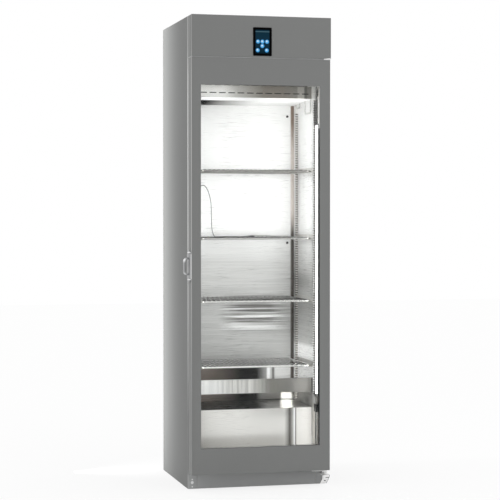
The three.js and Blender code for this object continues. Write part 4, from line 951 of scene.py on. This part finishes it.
def add_lamps(diffuser, carrier):
    """Each lamp is a lit diffuser in a dark channel with end caps."""
    for name, _ in SIDES:
        low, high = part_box(f"led_bar_{name}")
        lamp = block((low.x, low.y + 0.0062, low.z + LAMP_CAP), (high.x, high.y - 0.002, high.z - LAMP_CAP),
                     0.0009, 3)
        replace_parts(keep(f"led_diffuser_{name}", lamp, diffuser, "door"), f"led_bar_{name}")
        channel = block(low, (high.x, low.y + LAMP_CAP, high.z), 0.0005)
        keep(f"led_channel_{name}", channel, carrier, "door")
        for label, z in (("low", low.z), ("high", high.z - LAMP_CAP)):
            cap = block((low.x, low.y + 0.0061, z), (high.x, high.y, z + LAMP_CAP), 0.0005)
            keep(f"led_cap_{name}_{label}", cap, carrier, "door")


# Control display

# Places of the buttons in X and Z, in millimetres
BUTTONS = ((-17.7, 1873), (1.2, 1873), (21.1, 1873), (0.8, 1855), (-19.0, 1837), (19.8, 1837))
BUTTON_RADIUS = 0.0088
BUTTON_LIFT = 0.0005
# A button's domed face, as (rise, share of the radius)
BUTTON_DOME = ((0, 1), (0.0003, 0.97), (0.00045, 0.85), (0.0005, 0.5), (0.0005, 0.05))


def add_display(bezel_look, screen_glass):
    """Bezel, screen, housing and round buttons."""
    low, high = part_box("control_display")
    x, z = (low.x + high.x) / 2, (low.z + high.z) / 2
    outlines = [rounded_rectangle(x, z, high.x - x - margin, high.z - z - margin, corner)
                for margin, corner in ((0, 0.003), (0.010, 0.002))]
    bezel = stand(plate("display_bezel", outlines, 0.002, 0.0004), low.y + 0.001)
    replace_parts(keep("display_bezel", bezel, bezel_look), "control_display")
    screen = block(low + Vector((0.0098, BUTTON_LIFT, 0.0098)),
                   (high.x - 0.0098, low.y + 0.030, high.z - 0.0098))
    keep("display_screen", screen, screen_glass)
    housing = block(low + Vector((0.0051, 0.0022, 0.0051)), high - Vector((0.0051, 0, 0.0051)), 0.0008)
    keep("display_housing", housing, bezel_look)
    profile = [(rise, share * BUTTON_RADIUS) for rise, share in BUTTON_DOME]
    for number, (x, z) in enumerate(BUTTONS, 1):
        x, z = x * MM, z * MM
        button = lathe(profile, turned((x, low.y + BUTTON_LIFT, z), -1, "Z"), 40)
        keep(f"display_button_{number}", button, button_look(number, x, z))


# Small fasteners and thin trim

# Screw head, as shares of (height, radius)
SCREW_HEIGHT = 0.55
SCREW_HEAD = ((0.35, 1), (0.75, 0.9), (1, 0.68), (1, 0.42), (0.35, 0.38))
CASING_SCREW_RADIUS = 0.0042
BRACKET_SCREW_RADIUS = 0.0034
PANEL_SCREW_RADIUS = 0.0056
# Screws by their two places on a face, plugs by height and radius, all in millimetres
PANEL_SCREWS = ((-230, 1590), (230, 1590), (-230, 1026), (230, 1026))
REAR_SCREWS = [(side * 290, z) for side in (-1, 1) for z in (40, 420, 800, 1180, 1560, 1900)]
ROOF_SCREWS = [(x, y) for x in (-270, 0, 270) for y in (-235, 240)]
PLUGS = ((39.5, 3.0), (26.5, 6.3), (9.2, 3.0))
PLUG_X = -0.2816
# A plug's dome, as (rise, share of the radius)
PLUG_DOME = ((-0.0002, 1), (0.0006, 1), (0.0012, 0.88), (0.0016, 0.6), (0.0017, 0.1))
PIN_X, PIN_Y, PIN_RADIUS = 0.2905, -0.316, 0.004
# The lower bracket's arm: its top, width and sheet, the height of its nose and where its slope ends
ARM_TOP = 0.048
ARM_WIDTH = 0.0285
ARM_SHEET = 0.0032
ARM_NOSE = 0.009
ARM_FOOT = -0.296
# The joint between fascia and door: its height, left end, right end, cap's right end, front and back
JOINT_HEIGHT = 0.0044
JOINT_LEFT, JOINT_RIGHT, CAP_RIGHT = -0.2997, 0.269, 0.2985
JOINT_FRONT, JOINT_BACK = -0.3465, -0.3430
# The cap's wedge in X and above the joint
CAP_WEDGE = ((0.2705, -0.0010), (CAP_RIGHT, -0.0010), (CAP_RIGHT, 0.0034), (0.2705, 0.0006))


def add_screw(name, place, direction, radius, look):
    """Pan-head screw with a recess, its head towards the given direction."""
    turn = Vector((1, 0, 0)).rotation_difference(Vector(direction)).to_matrix().to_4x4()
    profile = [(-0.0002, radius)]
    profile += [(radius * SCREW_HEIGHT * height, radius * share) for height, share in SCREW_HEAD]
    keep(name, lathe(profile, Matrix.Translation(place) @ turn, 24), look)


def add_bracket(look, dark):
    """Lower hinge bracket: a folded arm with a sloping front, its pin and a screw."""
    low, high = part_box("hinge_bracket_bottom")
    nose, sheet = ARM_TOP - ARM_NOSE, ARM_SHEET
    geometry = bmesh.new()
    profile = [(high.y, ARM_TOP), (low.y, ARM_TOP), (low.y, nose), (ARM_FOOT, low.z), (ARM_FOOT + sheet, low.z),
               (low.y + sheet, nose - 0.001), (low.y + sheet, ARM_TOP - sheet), (high.y, ARM_TOP - sheet)]
    skin(geometry, [[(x, y, z) for y, z in profile] for x in (high.x - ARM_WIDTH, high.x)])
    round_edges(geometry, 0.0008, 2, 20)
    merge(geometry, block((high.x - 0.013, high.y - sheet, low.z), high, 0.0008, 2, 20))
    length = high.z - ARM_TOP
    pin = ((0, PIN_RADIUS), (length - 0.0002, PIN_RADIUS), (length + 0.001, 0.8 * PIN_RADIUS))
    merge(geometry, lathe(pin, turned((PIN_X, PIN_Y, ARM_TOP - 0.001), -1, "Y"), 24))
    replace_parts(keep("hinge_bracket_arm", geometry, look), "hinge_bracket_bottom")
    middle = high.x - 0.014
    slope = (0, low.z - nose, low.y - ARM_FOOT)
    spot = Vector((middle, ARM_FOOT, low.z)).lerp(Vector((middle, low.y, nose)), 0.45)
    add_screw("bracket_screw", spot, slope, BRACKET_SCREW_RADIUS, dark)


def add_joint(white, trim):
    """The seal in the joint over the door, made pale to lift the joint's shade, and the white wedge at its
    right end, a plastic cap that stands in for light seen through the joint.
    """
    front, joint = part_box("fascia")[0].yz
    bottom = joint - JOINT_HEIGHT
    seal = block((JOINT_LEFT, JOINT_FRONT, bottom), (JOINT_RIGHT, JOINT_BACK, joint), 0.0006)
    merge(seal, block((JOINT_LEFT, -0.3440, bottom), (JOINT_LEFT + 0.0042, -0.2700, joint), 0.0006))
    keep("joint_seal", seal, trim)
    face = front - 0.0005
    cap = block((JOINT_RIGHT + 0.0005, face, bottom), (CAP_RIGHT, JOINT_BACK, joint), 0.0002, 1)
    lip = bmesh.new()
    skin(lip, [[(x, y, joint + rise) for x, rise in CAP_WEDGE] for y in (face, front)])
    merge(cap, lip)
    keep("joint_cap", cap, white)


def add_fasteners(white, dark, bright):
    """Screws of the casing and the back panel, and plugs in the spare hinge holes."""
    rear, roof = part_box("side_panel_left")[1].y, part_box("top_cover")[1].z
    for number, (x, z) in enumerate(REAR_SCREWS, 1):
        add_screw(f"rear_screw_{number}", (x * MM, rear, z * MM), (0, 1, 0), CASING_SCREW_RADIUS, bright)
    for number, (x, y) in enumerate(ROOF_SCREWS, 1):
        add_screw(f"roof_screw_{number}", (x * MM, y * MM, roof), (0, 0, 1), CASING_SCREW_RADIUS, bright)
    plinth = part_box("base_pan")[0].y
    for number, (z, radius) in enumerate(PLUGS, 1):
        profile = [(rise, share * radius * MM) for rise, share in PLUG_DOME]
        keep(f"hole_plug_{number}", lathe(profile, turned((PLUG_X, plinth, z * MM), -1, "Z")), white)
    for number, (x, z) in enumerate(PANEL_SCREWS, 1):
        add_screw(f"panel_screw_{number}", (x * MM, PANEL_FRONT, z * MM), (0, -1, 0), PANEL_SCREW_RADIUS, dark)


# Surroundings

# Lamps as (place, aim, size, watts, spread in degrees). The chamber's stand for its lit, shiny inside:
# side walls, right wall, deck, back panel and duct, with the front of the base cover last.
LAMPS = {
    "key": ((2.2, -3.8, 2.4), (0, 0, 1.0), (2.0, 2.0), 8, 180),
    "rim": ((-0.70, 0.30, 1.0), (0.4, 0.30, 1.0), (0.06, 3.2), 6.6, 102),
    "chamber_0": ((-0.20, -0.235, 1.19), (-0.05, 0.09, 1.19), (0.03, 0.84), 1.32, 180),
    "chamber_2": ((0.20, -0.235, 1.19), (0.05, 0.09, 1.19), (0.03, 0.84), 1.15, 180),
    "chamber_low": ((0.222, -0.264, 0.36), (0.222, 0.0, 0.36), (0.02, 0.52), 0.22, 180),
    "chamber_wall": ((0.12, -0.06, 0.54), (0.257, -0.06, 0.53), (0.26, 0.12), 0.15, 110),
    "chamber_deck": ((0.187, -0.06, 0.43), (0.187, -0.06, 0.33), (0.050, 0.29), 0.34, 8),
    "chamber_strip": ((0.229, 0.0, 0.344), (0.229, 0.09, 0.344), (0.053, 0.044), 0.056, 8),
    "chamber_panel": ((0.19, -0.02, 0.45), (0.20, 0.09, 0.43), (0.10, 0.04), 0.06, 110),
    "chamber_duct": ((-0.18, -0.262, 1.685), (-0.18, -0.228, 1.685), (0.15, 0.05), 0.011, 120),
    "chamber_foot": ((-0.04, -0.262, 0.125), (-0.04, -0.225, 0.165), (0.46, 0.015), 0.05, 180),
}
# The deck lamp points straight down and is turned to lie along the view
DECK_TURN = -14.4
WORLD_LIGHT = 0.96
FLOOR_HALF = 14
# What the floor gives up of its shadow where it is seen
FLOOR_GLOW = 0.8


def empty_tree(owner, output):
    """An empty node tree of a material or world, with its output node."""
    owner.use_nodes = True
    owner.node_tree.nodes.clear()
    nodes = Nodes(owner.node_tree)
    return nodes, nodes.add(output)


def seen_by(nodes, first, *others):
    """1 for the named kinds of ray, 0 for all others."""
    rays = nodes.add("ShaderNodeLightPath").outputs
    seen = rays[first]
    for name in others:
        seen = nodes.reckon("MAXIMUM", seen, rays[name])
    return seen


def add_world():
    """White where a lens, a gloss or a glass looks at it, and an even soft light for everything else."""
    SCENE.world = bpy.data.worlds.new("studio")
    nodes, output = empty_tree(SCENE.world, "ShaderNodeOutputWorld")
    seen = seen_by(nodes, "Is Camera Ray", "Is Glossy Ray", "Is Transmission Ray")
    light, white = (nodes.add("ShaderNodeBackground", {"Color": (1, 1, 1, 1), "Strength": strength})
                    for strength in (WORLD_LIGHT, 1))
    nodes.mix_shaders(seen, light, white, output)


def add_floor():
    """Pale floor that keeps a light shadow of the cabinet."""
    geometry = bmesh.new()
    geometry.faces.new([geometry.verts.new((x * FLOOR_HALF, y * FLOOR_HALF, -0.0008))
                        for x, y in ((-1, -1), (1, -1), (1, 1), (-1, 1))])
    floor = add_object("floor", mesh_of("floor", geometry))
    material = bpy.data.materials.new("floor")
    floor.data.materials.append(material)
    nodes, output = empty_tree(material, "ShaderNodeOutputMaterial")
    share = nodes.reckon("MULTIPLY", seen_by(nodes, "Is Camera Ray", "Is Glossy Ray"), FLOOR_GLOW)
    matt = nodes.add("ShaderNodeBsdfDiffuse", {"Color": (0.97, 0.97, 0.97, 1)})
    white = nodes.add("ShaderNodeEmission", {"Strength": 1})
    nodes.mix_shaders(share, matt, white, output)


def add_lights():
    """Key and rim outside, small lamps inside the chamber. None is seen itself, in views or reflections."""
    for name, (place, aim, size, power, spread) in LAMPS.items():
        light = bpy.data.lights.new(name, "AREA")
        light.shape = "RECTANGLE"
        light.size, light.size_y = size
        light.energy = power
        light.spread = math.radians(spread)
        lamp = add_object(name, light)
        lamp.location = place
        lamp.rotation_euler = (Vector(aim) - Vector(place)).to_track_quat("-Z", "Y").to_euler()
        lamp.visible_camera = False
        lamp.visible_glossy = False
        if name == "chamber_deck":
            lamp.rotation_euler = (0, 0, math.radians(DECK_TURN))


# How fine the brushing is along each axis, for sheets brushed across and upright
ACROSS, UPRIGHT = (14, 14, 700), (700, 700, 14)


def dress_casing():
    paint = paint_look()
    dress("side_panel_left side_panel_right", paint, 0.0004)
    dress("base_pan top_cover fascia", paint, 0.0005)
    dress("door_skin", paint, 0.0007, 3)
    dress("back_panel machine_deck", galvanised_look(), 0.0003)
    dress("foam_body", foam_look())
    dress("compressor", plastic_look("black_enamel", (28, 28, 30), (0.25, 0.35), 500, 0.5))
    dress("evaporator_coil condenser_coil", metal_look("fin_aluminium", (190, 193, 195), (0.35, 0.5), 0.9))


def dress_chamber(black):
    """The door's inside, the liner and what stands in it."""
    walls = {"grain": ACROSS, "rough": (0.26, 0.36), "metal": 0.45, "anisotropy": 0.5, "lines": 0.04,
             "bands": ((4, 4, 120), 0.012)}
    dress("liner_left liner_right liner_back",
          steel_look("wall_steel", (252, 252, 251), painted_marks=low_shade_and_brushing, painted_tones=WALL_LIGHT_AND_SHADE, **walls))
    dress("back_duct_panel",
          steel_look("duct_panel_steel", (252, 252, 251), painted_marks=duct_panel_light_and_shade, **walls))
    dress("base_cover", steel_look("base_cover_steel", (248, 246, 242), painted_marks=cover_reflections, **walls), 0.0004)
    deflector = steel_look("deflector_steel", (242, 241, 237), UPRIGHT, (0.4, 0.5), 0.5, 0.5, 0.08,
                           ((75, 75, 2.5), 0.4), deflector_light_and_shade)
    dress("air_deflector", deflector, 0.0004)
    smooth = ((232, 231, 229), (500, 500, 20), (0.1, 0.18), 0.9, 0.2, 0.05)
    dress("liner_floor liner_ceiling drip_tray", steel_look("mirror_steel", *smooth))
    dress("door_frame", steel_look("frame_steel", *smooth, painted_marks=frame_light_and_shade), 0.0008)
    formed = (UPRIGHT, (0.24, 0.36), 0.9, 0.3, 0.06)
    for end, tone in (("rear", (250, 245, 240)), ("front", (254, 253, 251))):
        dress(f"rack_{end}_left rack_{end}_right",
              steel_look(f"{end}_rack_steel", tone, *formed, painted_marks=rack_shade))
    runners = " ".join(f"runner_{side}_{level}" for side, _ in SIDES for level in LEVELS)
    dress(runners, steel_look("runner_steel", (214, 212, 209), *formed), 0.0004)
    dress("glass_outer glass_inner", glass_look())
    dress("glass_spacer", plastic_look("spacer_bar", (36, 38, 42), (0.4, 0.55), 900, 0.15, [SPACER_TOP_HIGHLIGHT]))
    dress("gasket", plastic_look("seal_rubber", (118, 120, 120), (0.6, 0.8), 600, 0.3), 0.0015, 3)
    dress("led_connector", black, 0.0012, 3)
    dress("evaporator_fan_shroud evaporator_fan_left evaporator_fan_right condenser_fan_frame condenser_fan",
          black)


def main():
    add_camera()
    rubber = plastic_look("cable_rubber", (24, 24, 25), (0.4, 0.55))
    wire = wire_look()
    black = plastic_look("black_plastic", (20, 20, 22))
    add_probe(rubber, wire, black)

    dress_casing()
    dress_chamber(black)
    # The zinc is near white as painted light, lifting the brackets out of the shade under the door
    zinc = metal_look("zinc", (253, 253, 252), (0.3, 0.42), 0.25, painted_tones=BRACKET_SHADE)
    dress("hinge_bracket_bottom hinge_bracket_top closer_plate", zinc, 0.0006)

    # The shelf rods are painted paler on the lower shelves for the light falling there, and the fine wires dark
    # as painted shade and dark reflections
    rods = wire_look("shelf_rod", (180, 178, 175), (156, 153, 149), (253, 252, 250))
    fine_wire = wire_look("shelf_wire", (76, 73, 69), (54, 52, 49))
    duct = steel_look("duct_steel", (246, 244, 239), UPRIGHT, (0.3, 0.4), 0.1, 0.4, 0.05,
                      painted_marks=duct_light_and_shade, specular=0.0)
    handle = metal_look("handle_metal", (152, 153, 154), (0.3, 0.42), 0.6, handle_highlights)
    screw = metal_look("screw_steel", (236, 236, 236), (0.25, 0.4), 0.6)
    dark_screw = metal_look("dark_screw", (24, 24, 25), (0.3, 0.4), 0.3)
    white = plastic_look("white_plastic", (246, 246, 246))
    for number in LEVELS:
        add_shelf(number, rods, fine_wire)
    add_air_duct(duct, black)
    add_cradles(wire)
    add_handle(handle, screw)
    add_lamps(diffuser_look(), black)
    add_display(plastic_look("display_bezel", (3, 3, 4), (0.3, 0.4), 60, 0.02), screen_look())
    # The seal's pale tone is painted light against the shade in the joint
    add_joint(white, plastic_look("joint_seal", (168, 169, 169), specular=0.2))
    add_fasteners(white, dark_screw, screw)
    add_bracket(zinc, dark_screw)

    add_world()
    add_floor()
    add_lights()
    SCENE.view_settings.view_transform = "Standard"


main()
